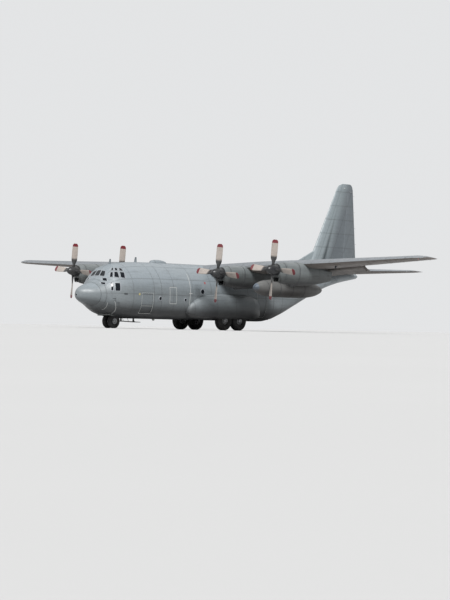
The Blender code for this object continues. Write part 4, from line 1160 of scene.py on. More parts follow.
class MakeGlazing(AeroplaneOperator):
    """Flight deck panes, their frames and the round side windows"""
    bl_idname = "aeroplane.glazing"
    bl_label = "Glazing"

    def make(self, scene):
        panes = body_shell("panes_skin", 1.40, 3.30, 0.012, 0.045)
        boolean(panes, pane_blocks("pane_blocks", -0.002), "INTERSECT")
        finished(panes, "airframe", finish_named("glass"), ("flight_deck_glazing",), 40)
        settings = scene.aeroplane_skin
        frames = body_shell("frames", 1.36, 3.34, -settings.frame_proud, 0.02)
        boolean(frames, pane_blocks("frame_blocks", settings.frame_width), "INTERSECT", True)
        boolean(frames, pane_blocks("frame_holes", -0.002), "DIFFERENCE")
        frames.name = "pane_frames"
        finished(frames, "airframe", finish_named("pane_frame"), (), 40)
        self.portholes()

    def portholes(self):
        rims, discs = [], []
        spots = ((5.97, 2.14, 0.125), (8.45, 2.09, 0.10), (10.17, 2.72, 0.17), (11.86, 2.28, 0.10),
                 (17.2, 2.72, 0.15))
        for side in (1, -1):
            for station, height, radius in spots:
                x = skin_x(station, height)
                centre = (side * x, station, height)
                slope = (skin_x(station, height + 0.1) - skin_x(station, height - 0.1)) / 0.2
                axis = (side, 0, -slope)
                rims.append(hoop("rim", ((-0.03, radius), (0.022, radius), (0.026, radius + 0.015),
                                         (0.010, radius + 0.045), (-0.03, radius + 0.045)),
                                 centre, axis, 28))
                discs.append(turned("disc", ((-0.03, radius + 0.004), (0.008, radius + 0.004),
                                             (0.014, radius * 0.6), (0.016, 0.001)),
                                    centre, axis, 28))
        finished(joined("porthole_rims", rims), "airframe",
                 finish_named("pane_frame"), (), 35)
        finished(joined("porthole_glass", discs), "airframe", finish_named("glass"))


class MakeWings(AeroplaneOperator):
    """Wing, flap, aileron and tail skins, each with a lighter upper paint and a darker lower paint
    that is painted shade underneath
    """
    bl_idname = "aeroplane.wings"
    bl_label = "Wings and tail"

    def make(self, scene):
        top, under = finish_named("wing_top"), finish_named("wing_under")
        flap = finish_named("flap_under")
        for node in ("wing_centre", "wing_outer_left", "wing_outer_right", "aileron_left",
                     "aileron_right", "stabiliser", "elevator_left", "elevator_right"):
            self.with_shaded_underside(node, top, under)
        for node in ("flap_inner_left", "flap_inner_right", "flap_outer_left",
                     "flap_outer_right"):
            self.with_shaded_underside(node, top, flap)
        for node in ("fin", "rudder"):
            reskinned(node, finish_named("fin"), 0.0, 28)
        self.lamps()
        self.wicks()

    def with_shaded_underside(self, node, top, under):
        piece = reskinned(node, top, 0.0, 28)
        piece.data.materials.append(under)
        for face in piece.data.polygons:
            # Faces turned down take the darker lower paint, as painted shade.
            face.material_index = 1 if face.normal.z < 0.05 else 0

    def lamps(self):
        for side, name in ((1, "red_lamp"), (-1, "green_lamp")):
            tip = turned(f"{name}_tip", ((-0.02, 0.035), (0.05, 0.045), (0.13, 0.03), (0.15, 0.004)),
                         (side * 19.98, 12.32, 5.03), (side * 0.5, -0.87, 0), 16)
            finished(tip, "airframe", finish_named(name))
            landing = turned(f"landing_lamp_{'left' if side > 0 else 'right'}",
                             ((-0.10, 0.075), (0.0, 0.075), (0.015, 0.05), (0.018, 0.002)),
                             (side * 13.2, 11.80, 4.47), (0, -0.85, -0.5), 20)
            finished(landing, "airframe", finish_named("glass"))
        lights = [turned("light", ((-0.05, 0.05), (0.02, 0.05), (0.035, 0.035), (0.04, 0.002)),
                         (side * 0.095, 27.89, 11.30), (side, 0, 0), 18) for side in (1, -1)]
        finished(joined("fin_lamps", lights), "airframe", finish_named("clear_lamp"))
        belly = turned("belly_beacon", ((-0.06, 0.10), (0.04, 0.10), (0.11, 0.07), (0.13, 0.003)),
                       (0, 7.4, 0.715), (0, 0, -1), 20)
        finished(belly, "airframe", finish_named("clear_lamp"))

    def wicks(self):
        """Static discharge wicks along the trailing edges."""
        wick = small_piece("wick", [[(r * math.cos(a), y, r * math.sin(a))
                                     for a in turns(6)]
                                    for y, r in ((-0.02, 0.004), (0.03, 0.004), (0.10, 0.0015))])
        material = finish_named("dark_metal")
        for name, node, body, count in (
                ("wicks_left", "aileron_left", "aileron_left", 5),
                ("wicks_right", "aileron_right", "aileron_right", 5),
                ("wicks_rudder", "rudder", "rudder", 5)):
            edge = self.trailing_edge(node)
            row = spread(name, "Copies along a line", wick, material, Count=count,
                         Start=edge[0], End=edge[1], Turn=(0, 0, 0))
            finished(row, body, material)
        bpy.data.objects.remove(wick)

    def trailing_edge(self, node):
        """Places near both ends of a control surface's trailing edge."""
        points = [v.co for v in frame["nodes"][node].data.vertices]
        along = 2 if node == "rudder" else 0
        low, high = min(p[along] for p in points), max(p[along] for p in points)
        reach = 0.12 * (high - low)
        tips = [max((p for p in points if abs(p[along] - end) < reach), key=lambda p: p.y)
                for end in (low, high)]
        return [tips[0].lerp(tips[1], share) for share in (0.06, 0.94)]


# Nacelles: rows of (station, top, bottom, half width) about the propeller's axis
NACELLE = (
    (9.17, 0.42, -0.62, 0.42),
    (9.45, 0.50, -0.86, 0.52),
    (10.20, 0.56, -0.98, 0.60),
    (11.40, 0.58, -1.02, 0.62),
    (12.60, 0.50, -0.96, 0.58),
    (13.60, 0.30, -0.84, 0.50),
    (14.60, 0.05, -0.66, 0.34),
)
# Share of the radius, chord, thickness, pitch in degrees from the plane of rotation
BLADE = (
    (0.13, 0.17, 0.16, 80),
    (0.25, 0.22, 0.14, 60),
    (0.40, 0.42, 0.09, 45),
    (0.85, 0.46, 0.05, 25),
    (1.00, 0.40, 0.03, 22),
)
SPINNER = ((-0.60, 0.04), (-0.54, 0.15), (-0.32, 0.28), (0.02, 0.355), (0.34, 0.36))
TANK = (
    (0.0, 0.04), (0.01, 0.24), (0.05, 0.55), (0.14, 0.86), (0.28, 1.0),
    (0.66, 1.0), (0.83, 0.82), (0.95, 0.42), (1.0, 0.04),
)
TANK_X = 7.55
TANK_NOSE = 9.70
TANK_LENGTH = 7.20
TANK_RADIUS = 0.62
TANK_HEIGHT = 3.02


def finer(rows, steps):
    """Rows between the given ones, on curves that stay within them."""
    count = len(rows[0])
    slopes = []
    for column in range(1, count):
        gaps = [(b[column] - a[column]) / (b[0] - a[0]) for a, b in zip(rows, rows[1:])]
        inner = [2 * a * b / (a + b) if a * b > 0 else 0.0 for a, b in zip(gaps, gaps[1:])]
        slopes.append([gaps[0], *inner, gaps[-1]])
    found = []
    for index, (low, high) in enumerate(zip(rows, rows[1:])):
        width = high[0] - low[0]
        for k in range(steps):
            t = k / steps
            row = [low[0] + width * t]
            for column in range(1, count):
                first, second = (slopes[column - 1][index + n] * width for n in (0, 1))
                row.append((2 * t ** 3 - 3 * t ** 2 + 1) * low[column]
                           + (t ** 3 - 2 * t ** 2 + t) * first
                           + (3 * t ** 2 - 2 * t ** 3) * high[column]
                           + (t ** 3 - t ** 2) * second)
            found.append(tuple(row))
    return found + [tuple(rows[-1])]


def nacelle_ring(row, x, height, count=48, grow=0.0):
    station, top, bottom, half = row
    ring = []
    for i in range(count):
        angle = 2 * math.pi * i / count
        sine, cosine = math.sin(angle), math.cos(angle)
        rise = ((top + grow) * cosine if cosine > 0
                else (grow - bottom) * math.copysign(abs(cosine) ** 0.8, cosine))
        ring.append((x + (half + grow) * math.copysign(abs(sine) ** 0.85, sine), station,
                     height + rise))
    return ring


def band(name, low, high, x, height, lift, inner=-0.02):
    """A raised band round a nacelle between two rows."""
    rings = [nacelle_ring(low, x, height, 48, lift), nacelle_ring(high, x, height, 48, lift),
             nacelle_ring(high, x, height, 48, inner), nacelle_ring(low, x, height, 48, inner)]
    return loft(name, rings, closed_loop=True)


class MakeEngines(AeroplaneOperator):
    """Nacelles with their intakes, lips, jet pipes and cowling bands"""
    bl_idname = "aeroplane.engines"
    bl_label = "Engines"

    def make(self, scene):
        for name, (x, height) in PROPELLERS.items():
            self.nacelle(name, x, height)

    def nacelle(self, name, x, height):
        rows = finer(NACELLE, 5)
        shell = loft(f"nacelle_{name}_skin", [nacelle_ring(row, x, height) for row in rows])
        scoop = rounded([(x - 0.29, height - 0.50), (x + 0.29, height - 0.50),
                         (x + 0.21, height - 0.80), (x - 0.21, height - 0.80)], 0.07, 4)
        boolean(shell, prism("intake", scoop, 9.0, 9.75, 1), "DIFFERENCE")
        boolean(shell, turned("pipe_hole", ((0, 0.20), (0.8, 0.20)), (x, 14.00, height - 0.33),
                              (0, 1, 0), 28), "DIFFERENCE")
        node = f"nacelle_{name}"
        finished(shell, "airframe", finish_named("nacelle"), (node,), 32)

        lip = ((9.14, 0.02), (9.16, 0.035), (9.24, 0.035), (9.30, 0.02), (9.30, -0.02),
               (9.14, -0.02))
        edge = loft(f"intake_lip_{name}", [[(a, station, b) for a, b in grown(scoop, growth)]
                                           for station, growth in lip], closed_loop=True)
        finished(edge, "airframe", finish_named("nacelle"))

        pieces = [hoop("spinner_seal", ((9.14 - 9.17, 0.375), (0.02, 0.375), (0.02, 0.41),
                                        (-0.03, 0.40)), (x, 9.17, height), (0, 1, 0), 40)]
        for low in (6, 13):
            pieces.append(band("band", rows[low], (rows[low][0] + 0.05, *rows[low][1:]), x,
                               height, 0.006))
        pieces.append(turned("cooler", ((0, 0.10), (0.05, 0.13), (0.55, 0.11), (0.95, 0.02)),
                             (x, 10.5, height - 0.98), (0, 1, 0.02), 20))
        finished(joined(f"cowl_bands_{name}", pieces), "airframe",
                 finish_named("dark"))

        pipe = hoop("pipe", ((-0.55, 0.196), (0.30, 0.186), (0.33, 0.170), (0.30, 0.158),
                             (-0.55, 0.16)), (x, 14.35, height - 0.33), (0, 1, -0.04), 36)
        core = turned("core", ((-0.5, 0.159), (-0.45, 0.06), (-0.1, 0.02)),
                      (x, 14.35, height - 0.33), (0, 1, 0), 24)
        finished(joined(f"jet_pipe_{name}", [pipe, core]), "airframe",
                 finish_named("pipe"))


class MakePropellers(AeroplaneOperator):
    """Propellers: twisted blades spaced by a node tree round a spinner"""
    bl_idname = "aeroplane.propellers"
    bl_label = "Propellers"

    def make(self, scene):
        blade = self.blade()
        collar = small_piece("collar", [[(along, r * math.cos(a), r * math.sin(a))
                                         for a in turns(24)]
                                        for along, r in ((0.13, 0.058), (0.182, 0.058),
                                                         (0.190, 0.050), (0.21, 0.048))])
        bolt = stud("spinner_bolt", 0.006, 0.004)
        for name, (x, height) in PROPELLERS.items():
            body = f"propeller_{name}"
            centre = place(x, PROP_STATION, height)
            given = {"Centre": centre, "Axis_Turn": (-math.pi / 2, 0, 0), "Radius": 0.0,
                     "Phase": PROP_PHASE, "Count": BLADES}
            paint = finish_named("blade")
            blades = spread(f"blades_{name}", "Copies in a ring", blade, paint, **given)
            finished(blades, body, paint, (body,), 40)
            metal = finish_named("dark_metal")
            cuffs = spread(f"blade_collars_{name}", "Copies in a ring", collar, metal, **given)
            finished(cuffs, body, metal)
            given.update(Radius=0.16, Count=16, Centre=place(x, PROP_STATION + 0.335, height))
            given["Axis_Turn"] = (math.pi / 2, 0, 0)
            bolts = spread(f"spinner_bolts_{name}", "Copies in a ring", bolt, metal, **given)
            finished(bolts, body, metal)
            profile = finer(SPINNER, 5)
            spinner = turned(f"spinner_{name}", profile + [(0.36, 0.35), (0.36, 0.16)],
                             (x, PROP_STATION, height), (0, 1, 0), 48)
            finished(spinner, body, finish_named("spinner"), (), 40)
        for item in (blade, collar, bolt):
            bpy.data.objects.remove(item)

    def blade(self):
        """One blade along X, its axis of spin along Z, in model metres."""
        rings, shares = [], []
        for share, chord, thickness, pitch in finer(BLADE, 6):
            turn = math.radians(pitch)
            tip = max(0.0, (share - 0.94) / 0.06)
            chord *= 1 - 0.42 * tip ** 2
            ring = []
            for k in range(20):
                a = 2 * math.pi * k / 20
                along = math.cos(a) * chord / 2
                across = math.sin(a) * thickness / 2 * (1 - 0.35 * math.cos(a))
                ring.append((share * PROP_RADIUS * SCALE,
                             (along * math.cos(turn) - across * math.sin(turn)) * SCALE,
                             (along * math.sin(turn) + across * math.cos(turn)) * SCALE))
            rings.append(ring)
            shares += [share] * 20
        piece = small_piece("blade", rings)
        layer = piece.data.attributes.new("blade_share", "FLOAT", "POINT")
        for item, vertex in zip(layer.data, piece.data.vertices):
            item.value = vertex.co.x / (PROP_RADIUS * SCALE)
        return piece


class MakeTanks(AeroplaneOperator):
    """Underwing fuel tanks, their pylons, seams and caps"""
    bl_idname = "aeroplane.tanks"
    bl_label = "Fuel tanks"

    def make(self, scene):
        paint = finish_named("tank")
        for side, name in ((1, "left"), (-1, "right")):
            x = side * TANK_X
            profile = [(share * TANK_LENGTH, radius * TANK_RADIUS)
                       for share, radius in finer(TANK, 5)]
            tank = turned("tank", profile, (x, TANK_NOSE, TANK_HEIGHT), (0, 1, 0), 56)
            rings = []
            for height, front, rear, half in ((3.40, 11.45, 14.65, 0.10), (3.75, 11.6, 14.55, 0.085),
                                              (4.58, 12.0, 14.3, 0.085)):
                ring = []
                for k in range(24):
                    a = 2 * math.pi * k / 24
                    along = (1 - math.cos(a)) / 2
                    ring.append((x + half * math.copysign(abs(math.sin(a)) ** 0.7, math.sin(a)),
                                 front + (rear - front) * along, height))
                rings.append(ring)
            pylon = loft("pylon", rings)
            node = f"fuel_tank_{name}"
            finished(joined(f"{node}_skin", [tank, pylon]), "airframe", paint,
                     (node,), 35)
            seams = []
            for station in (10.75, 11.9, 13.2, 14.4):
                share = (station - TANK_NOSE) / TANK_LENGTH
                radius = self.radius_at(share) * TANK_RADIUS
                seams.append(hoop("seam", ((-0.02, radius - 0.02), (-0.02, radius + 0.006),
                                           (0.02, radius + 0.006), (0.02, radius - 0.02)),
                                  (x, station, TANK_HEIGHT), (0, 1, 0), 56))
            seams.append(turned("cap", ((-0.03, 0.09), (0.008, 0.09), (0.014, 0.06), (0.016, 0.002)),
                                (x, 11.0, TANK_HEIGHT + TANK_RADIUS * 0.985), (0, -0.05, 1), 24))
            finished(joined(f"tank_seams_{name}", seams), "airframe",
                     finish_named("dark"))

    def radius_at(self, share):
        for low, high in zip(TANK, TANK[1:]):
            if share <= high[0]:
                return low[1] + (high[1] - low[1]) * (share - low[0]) / (high[0] - low[0])
        return TANK[-1][1]


# Wheels and landing gear

class MakeWheels(AeroplaneOperator):
    """Tyres with grooves, rims, hub caps and bolts"""
    bl_idname = "aeroplane.wheels"
    bl_label = "Wheels"

    def make(self, scene):
        bolt = stud("wheel_bolt", 0.009, 0.012)
        for name, (x, station) in MAIN_WHEELS.items():
            side = math.copysign(1, x)
            body = f"main_wheel_{name}"
            centre = (x, station, MAIN_TYRE[0])
            tyre = self.tyre(f"main_tyre_{name}_skin", centre, MAIN_TYRE, side,
                             (-0.15, -0.05, 0.05, 0.15))
            finished(tyre, body, finish_named("rubber"), (f"main_tyre_{name}",), 40)
            face = -0.215
            profile = ((face, 0.04), (face, 0.26), (face + 0.02, 0.2994), (face + 0.36, 0.2994),
                       (face + 0.37, 0.285), (face + 0.35, 0.262), (face + 0.29, 0.245),
                       (face + 0.265, 0.20), (face + 0.28, 0.13), (face + 0.33, 0.125),
                       (face + 0.335, 0.115), (face + 0.345, 0.105), (face + 0.39, 0.095),
                       (face + 0.41, 0.06), (face + 0.415, 0.003))
            rim = turned(f"main_rim_{name}_skin", profile, centre, (side, 0, 0), 72)
            finished(rim, body, finish_named("alloy"), (f"main_rim_{name}",), 35)
            spot = (x + side * (face + 0.27), station, MAIN_TYRE[0])
            self.bolts(f"main_bolts_{name}", bolt, body, spot, side, 12, 0.082)
            mark = hoop(f"main_hub_ring_{name}", ((face + 0.331, 0.090), (face + 0.352, 0.102),
                                                  (face + 0.338, 0.1145), (face + 0.325, 0.112)),
                        centre, (side, 0, 0), 48)
            finished(mark, body, finish_named("dark_metal"))
        self.nose_wheels(bolt)
        bpy.data.objects.remove(bolt)

    def nose_wheels(self, bolt):
        station, height = NOSE_AXLE
        for side, name in ((1, "left"), (-1, "right")):
            centre = (side * NOSE_TYRE_X, station, height)
            tyre = self.tyre(f"nose_tyre_{name}_skin", centre, NOSE_TYRE, side,
                             (-0.075, 0.0, 0.075))
            finished(tyre, "nose_wheels", finish_named("rubber"),
                     (f"nose_tyre_{name}",), 40)
        lug = NOSE_TYRE_X - NOSE_TYRE[1] / 2 - 0.03
        face = lug + SEAT
        rims = [turned("axle", ((-face - 0.05, 0.045), (face + 0.05, 0.045)),
                       (0, station, height), (1, 0, 0), 24)]
        for side in (1, -1):
            profile = ((face, 0.04), (face, 0.10), (face + 0.02, 0.1994), (face + 0.315, 0.1994),
                       (face + 0.322, 0.185), (face + 0.30, 0.165), (face + 0.262, 0.150),
                       (face + 0.258, 0.085), (face + 0.285, 0.078), (face + 0.31, 0.06),
                       (face + 0.316, 0.003))
            rims.append(turned("rim", profile, (0, station, height), (side, 0, 0), 64))
        finished(joined("nose_rims_skin", rims), "nose_wheels",
                 finish_named("gear_enamel"), ("nose_rims",), 35)
        for side, name in ((1, "left"), (-1, "right")):
            self.bolts(f"nose_bolts_{name}", bolt, "nose_wheels",
                       (side * (face + 0.256), station, height), side, 8, 0.058)

    def bolts(self, name, bolt, body, centre, side, count, radius):
        metal = finish_named("dark_metal")
        ring = spread(name, "Copies in a ring", bolt, metal, Count=count, Radius=radius,
                      Phase=0.5, Centre=place(*centre), Axis_Turn=(0, side * math.pi / 2, 0))
        finished(ring, body, metal)

    def tyre(self, name, centre, size, side, grooves):
        """A tyre with round shoulders, a bead and grooves, flat where it meets the ground."""
        radius, width, rim = size
        segments = 96
        out = radius / math.cos(math.pi / segments)
        half = width / 2
        wall = out - rim
        section = [(-0.78, 0.0), (-0.84, 0.04), (-0.80, 0.10), (-0.93, 0.25), (-1.0, 0.45),
                   (-0.985, 0.60), (-0.93, 0.76), (-0.84, 0.88), (-0.70, 0.955), (-0.55, 0.985)]
        profile = [(share * half, rim + rise * wall) for share, rise in section]
        for groove in grooves:
            for offset, depth in ((-0.013, 0.0), (-0.009, 0.028), (0.009, 0.028), (0.013, 0.0)):
                spot = groove + offset
                crown = 1 - 0.006 * (spot / half) ** 2
                profile.append((spot, out * crown - depth if depth else out * crown))
        profile += [(-share * half, rim + rise * wall) for share, rise in reversed(section)]
        rings = []
        for a in turns(segments, 0.5):
            rings.append([(centre[0] + side * along, centre[1] + r * math.sin(a),
                           centre[2] - r * math.cos(a)) for along, r in profile])
        return loft(name, rings, closed_loop=True)


class MakeGear(AeroplaneOperator):
    """Landing gear legs, pistons, links, brakes, door rods and well linings"""
    bl_idname = "aeroplane.gear"
    bl_label = "Landing gear"

    def make(self, scene):
        enamel = finish_named("gear_enamel")
        for node in ("main_leg_left", "main_leg_right", "nose_leg"):
            reskinned(node, enamel, 0.0, 40)
        reskinned("nose_steer_fork", enamel, 0.0, 40)
        self.main_details()
        self.nose_details()
        self.wells()

    def main_details(self):
        chrome, brakes, links, lines = [], [], [], []
        for x, station in MAIN_WHEELS.values():
            side = math.copysign(1, x)
            height = MAIN_TYRE[0]
            chrome.append(turned("piston", ((0, 0.072), (0.34, 0.072)),
                                 (side * 1.77, station, height + 0.08), (0, 0, 1), 24))
            brakes.append(turned("brake", ((1.845, 0.15), (1.845, 0.255), (1.865, 0.265),
                                           (1.885, 0.265), (1.895, 0.25), (1.895, 0.15)),
                                 (0, station, height), (side, 0, 0), 40))
            for step in (-1, 1):
                knee = (side * 1.77, station + step * 0.20, height + 0.30)
                links.append(rod("link", (side * 1.77, station + step * 0.06, height + 0.06),
                                 knee, 0.022, 12))
                links.append(rod("link", knee, (side * 1.77, station + step * 0.07,
                                                height + 0.56), 0.022, 12))
            lines.append(rod("line", (side * 1.80, station + 0.10, height + 0.10),
                             (side * 1.82, station + 0.09, height + 0.72), 0.010, 8))
        for pieces, name, finish in ((chrome, "main_pistons", "chrome"),
                                     (brakes, "main_brakes", "dark_metal"),
                                     (links, "main_links", "gear_enamel"),
                                     (lines, "main_brake_lines", "dark_metal")):
            finished(joined(name, pieces), "airframe", finish_named(finish))

    def nose_details(self):
        station, height = NOSE_AXLE
        piston = turned("nose_piston", ((0, 0.0765), (0.20, 0.0765)), (0, station, 0.83),
                        (0, 0, 1), 28)
        finished(piston, "nose_steer_fork", finish_named("chrome"))
        collar = [hoop("collar", ((0, 0.13), (0, 0.15), (0.05, 0.15), (0.05, 0.13)),
                       (0, station, 1.12), (0, 0, 1), 32)]
        for side in (1, -1):
            collar.append(rod("side_stay", (side * 0.12, station, 1.22),
                              (side * 0.52, station + 0.16, 1.92), 0.03, 14))
        finished(joined("nose_stays", collar), "airframe",
                 finish_named("gear_enamel"))
        lens = turned("taxi_lamp", ((-0.07, 0.03), (-0.02, 0.085), (0.0, 0.085), (0.012, 0.06),
                                    (0.018, 0.002)), (0, station - 0.20, 1.34), (0, -1, -0.08), 28)
        finished(lens, "airframe", finish_named("clear_lamp"))
        rods = []
        for side in (1, -1):
            rods.append(rod("door_rod", (side * 0.30, 4.20, 0.52), (side * 0.30, 4.05, 0.95),
                            0.016, 10))
            rods.append(rod("door_rod", (side * 0.30, 5.30, 0.47), (side * 0.30, 5.05, 0.86),
                            0.016, 10))
        finished(joined("nose_door_rods", rods), "airframe",
                 finish_named("gear_enamel"))

    def wells(self):
        """Walls round the nose wheel well, with ribs."""
        (left, right), (front, rear), (_, top) = NOSE_WELL
        low = 0.86
        walls = [block("wall", (right + 0.004, right + 0.03), (front, rear), (low, top)),
                 block("wall", (left - 0.03, left - 0.004), (front, rear), (low, top)),
                 block("wall", (left, right), (front - 0.03, front - 0.004), (low + 0.04, top)),
                 block("wall", (left, right), (rear + 0.004, rear + 0.03), (low, top)),
                 block("roof", (left, right), (front, rear), (top, top + 0.03))]
        for step in range(4):
            at = front + 0.15 + step * 0.33
            walls.append(block("rib", (right - 0.006, right + 0.01), (at, at + 0.04),
                               (low + 0.1, top)))
            walls.append(block("rib", (left - 0.01, left + 0.006), (at, at + 0.04),
                               (low + 0.1, top)))
        finished(joined("nose_well_lining", walls), "airframe",
                 finish_named("lining"))


# Inside

class MakeInterior(AeroplaneOperator):
    """Floors, instrument panel with its dials, and padded pilot seats"""
    bl_idname = "aeroplane.interior"
    bl_label = "Interior"

    def make(self, scene):
        for node in ("flight_deck_floor", "cargo_floor"):
            reskinned(node, finish_named("floor_plate"))
        reskinned("instrument_panel", finish_named("panel_black"), 0.006)
        self.dials()
        for node, x in (("pilot_seat", 0.62), ("copilot_seat", -0.62)):
            reskinned(node, finish_named("panel_black"), 0.008)
            self.cushions(node, x)
        self.tie_downs()

    def dials(self):
        """Two rows of round instruments facing aft."""
        dial = small_piece("dial", [[(r * math.cos(a), r * math.sin(a), z)
                                     for a in turns(20)]
                                    for r, z in ((0.026, -0.01), (0.026, 0.004), (0.022, 0.005),
                                                 (0.021, 0.002))])
        metal = finish_named("dark_metal")
        rows = []
        for height, station in ((3.08, 2.625), (2.96, 2.597)):
            row = spread("row", "Copies along a line", dial, metal, Count=14,
                         Start=place(-1.0, station, height), End=place(1.0, station, height),
                         Turn=(-1.33, 0, 0))
            rows.append(row)
        finished(joined("instrument_dials", rows), "airframe", metal)
        bpy.data.objects.remove(dial)

    def cushions(self, node, x):
        cloth_finish = finish_named("cloth")
        base = bevelled(block(f"{node}_cushion", (x - 0.235, x + 0.235), (3.14, 3.66),
                              (2.602, 2.69)), 0.018, 3)
        finished(base, "airframe", cloth_finish, (), 60)
        back = bevelled(prism(f"{node}_back", ((3.655, 2.70), (3.70, 2.70), (3.842, 3.40),
                                               (3.78, 3.40)), x - 0.22, x + 0.22, 0), 0.014, 3)
        finished(back, "airframe", cloth_finish, (), 60)

    def tie_downs(self):
        """Rows of flush tie-down cups on the cargo floor."""
        cup = small_piece("cup", [[(r * math.cos(a), r * math.sin(a), z)
                                   for a in turns(16)]
                                  for r, z in ((0.034, -0.004), (0.034, 0.0015), (0.026, 0.002),
                                               (0.022, 0.0008))])
        metal = finish_named("dark_metal")
        rows = [spread("row", "Copies along a line", cup, metal, Count=22,
                       Start=place(x, 6.6, 1.03), End=place(x, 17.1, 1.03), Turn=(0, 0, 0))
                for x in (-1.4, -0.5, 0.5, 1.4)]
        finished(joined("tie_down_cups", rows), "airframe", metal)
        bpy.data.objects.remove(cup)


class MakeMarkings(AeroplaneOperator):
    """Seams, plain warning lines, antennas and probes"""
    bl_idname = "aeroplane.markings"
    bl_label = "Markings and antennas"

    def make(self, scene):
        pale, seams, red, yellow = [], [], [], []
        for side in (1, -1):
            for a, b, width in (
                    ((6.90, 1.80), (6.90, 2.95), 0.035), ((7.55, 1.80), (7.55, 2.95), 0.035),
                    ((6.90, 2.95), (7.55, 2.95), 0.035), ((6.90, 1.80), (7.55, 1.80), 0.035),
                    ((8.86, 1.75), (9.02, 3.94), 0.045), ((8.80, 2.57), (9.12, 2.57), 0.045),
                    ((1.74, 1.76), (1.91, 1.25), 0.022), ((2.10, 1.86), (2.56, 1.02), 0.022)):
                pale.append(skin_line("line", a, b, width, side))
            doors = (CREW_DOOR, PARATROOP_DOOR) if side > 0 else (PARATROOP_DOOR,)
            for outline in (self.box(*door, 0.05) for door in doors):
                for a, b in zip(outline, outline[1:] + outline[:1]):
                    pale.append(skin_line("line", a, b, 0.022, side))
            for station in (NOSE_JOINT, AFT_JOINT):
                seams.append(skin_line("seam", (station, 1.0), (station, 4.4), 0.02, side, 0.007,
                                       24))
            red.append(skin_patch("mark", ((10.44, 3.42), (10.62, 3.42), (10.532, 3.24),
                                           (10.528, 3.24)), side))
            yellow.append(skin_patch("mark", ((3.93, 2.33), (4.07, 2.33), (4.07, 2.47),
                                              (3.93, 2.47)), side))
            seams.append(skin_patch("vent", ((2.70, 2.34), (2.96, 2.34), (2.96, 2.44),
                                             (2.70, 2.44)), side))
        (front, rear), (low, high) = CREW_DOOR
        middle = low + 0.36 * (high - low)
        pale.append(skin_line("line", (front, middle), (rear, middle), 0.018, 1))
        count = scene.aeroplane_skin.around
        seams.append(loft("radome_seam", [body_ring(s, o, count) for s, o in (
            (1.24, 0.01), (1.24, -0.003), (1.26, -0.003), (1.26, 0.01))], closed_loop=True))
        for name, pieces, finish in (("pale_lines", pale, "white_mark"), ("seams", seams, "seam"),
                                     ("red_marks", red, "red_mark"),
                                     ("yellow_marks", yellow, "yellow_mark")):
            finished(joined(name, pieces), "airframe", finish_named(finish))
        self.antennas()

    def box(self, stations, heights, margin):
        (front, rear), (low, high) = stations, heights
        return [(front - margin, low - margin), (rear + margin, low - margin),
                (rear + margin, high + margin), (front - margin, high + margin)]

    def antennas(self):
        """Blade and hump antennas on the spine and pitot tubes at the nose."""
        pieces = []
        for front, rear, height, half, foot in ((2.95, 3.18, 0.36, 0.02, 4.46),
                                                (5.38, 5.66, 0.40, 0.025, 4.64),
                                                (13.9, 14.3, 0.30, 0.025, 4.66),
                                                (19.4, 19.8, 0.34, 0.025, 4.66)):
            rings = []
            for rise in (0, 0.5, 0.85, 1.0):
                lean = 0.10 * rise
                slim = 1 - 0.55 * rise
                length = (rear - front) * (1 - 0.45 * rise)
                rings.append([(half * slim * math.sin(a), front + lean
                               + length * (1 - math.cos(a)) / 2, foot + height * rise)
                              for a in turns(16)])
            pieces.append(loft("blade", rings))
        rings = []
        for along in range(13):
            share = along / 12
            swell = math.sqrt(max(0.0, 1 - (2 * share - 0.9) ** 2 / 1.25)) if 0 < share < 1 else 0.05
            rings.append([(0.24 * swell * math.sin(a), 6.9 + 1.7 * share,
                           4.66 + 0.27 * swell * math.cos(a))
                          for a in turns(20)])
        pieces.append(loft("hump", rings))
        finished(joined("antennas", pieces), "airframe", finish_named("fuselage"))
        tubes = []
        for side in (1, -1):
            for station, height in ((2.05, 2.05), (2.35, 1.75)):
                x = side * skin_x(station, height)
                tubes.append(rod("mast", (x - side * 0.05, station + 0.04, height),
                                 (x + side * 0.12, station, height), 0.018, 12))
                tubes.append(rod("tube", (x + side * 0.12, station + 0.06, height),
                                 (x + side * 0.12, station - 0.26, height), 0.014, 12))
        for side in (1, -1):
            foot = Vector((side * 0.30, 1.93, 3.70))
            tubes.append(rod("wiper_arm", foot, foot + Vector((side * 0.10, 0.10, 0.20)), 0.010, 8))
        finished(joined("pitot_tubes", tubes), "airframe",
                 finish_named("dark_metal"))


# Studio

# Where the camera stands and looks, solved from the photograph's points
CAMERA_SPOT = (52.1836, -54.3165, 0.10)
CAMERA_RIGHT = (0.72617, 0.68721, 0.02049)
CAMERA_UP = (-0.00597, -0.02350, 0.99971)
CAMERA_AHEAD = (-0.68749, 0.72608, 0.01296)
CAMERA_SHIFT = (-0.02735, 0.0025)
# Each light: the way to it, its width in degrees, its share of the key light's strength
LIGHTS = {
    "key": ((0.62, -0.62, 0.95), 20, 1.0),
    "fill": ((-0.8, -0.4, 0.6), 60, 0.14),
    "back": ((-0.2, 0.9, 0.8), 60, 0.12),
}
FLOOR_RADIUS = 400
# Strength of the light from all sides, which is less than the surround that the camera sees
AMBIENT = 0.32


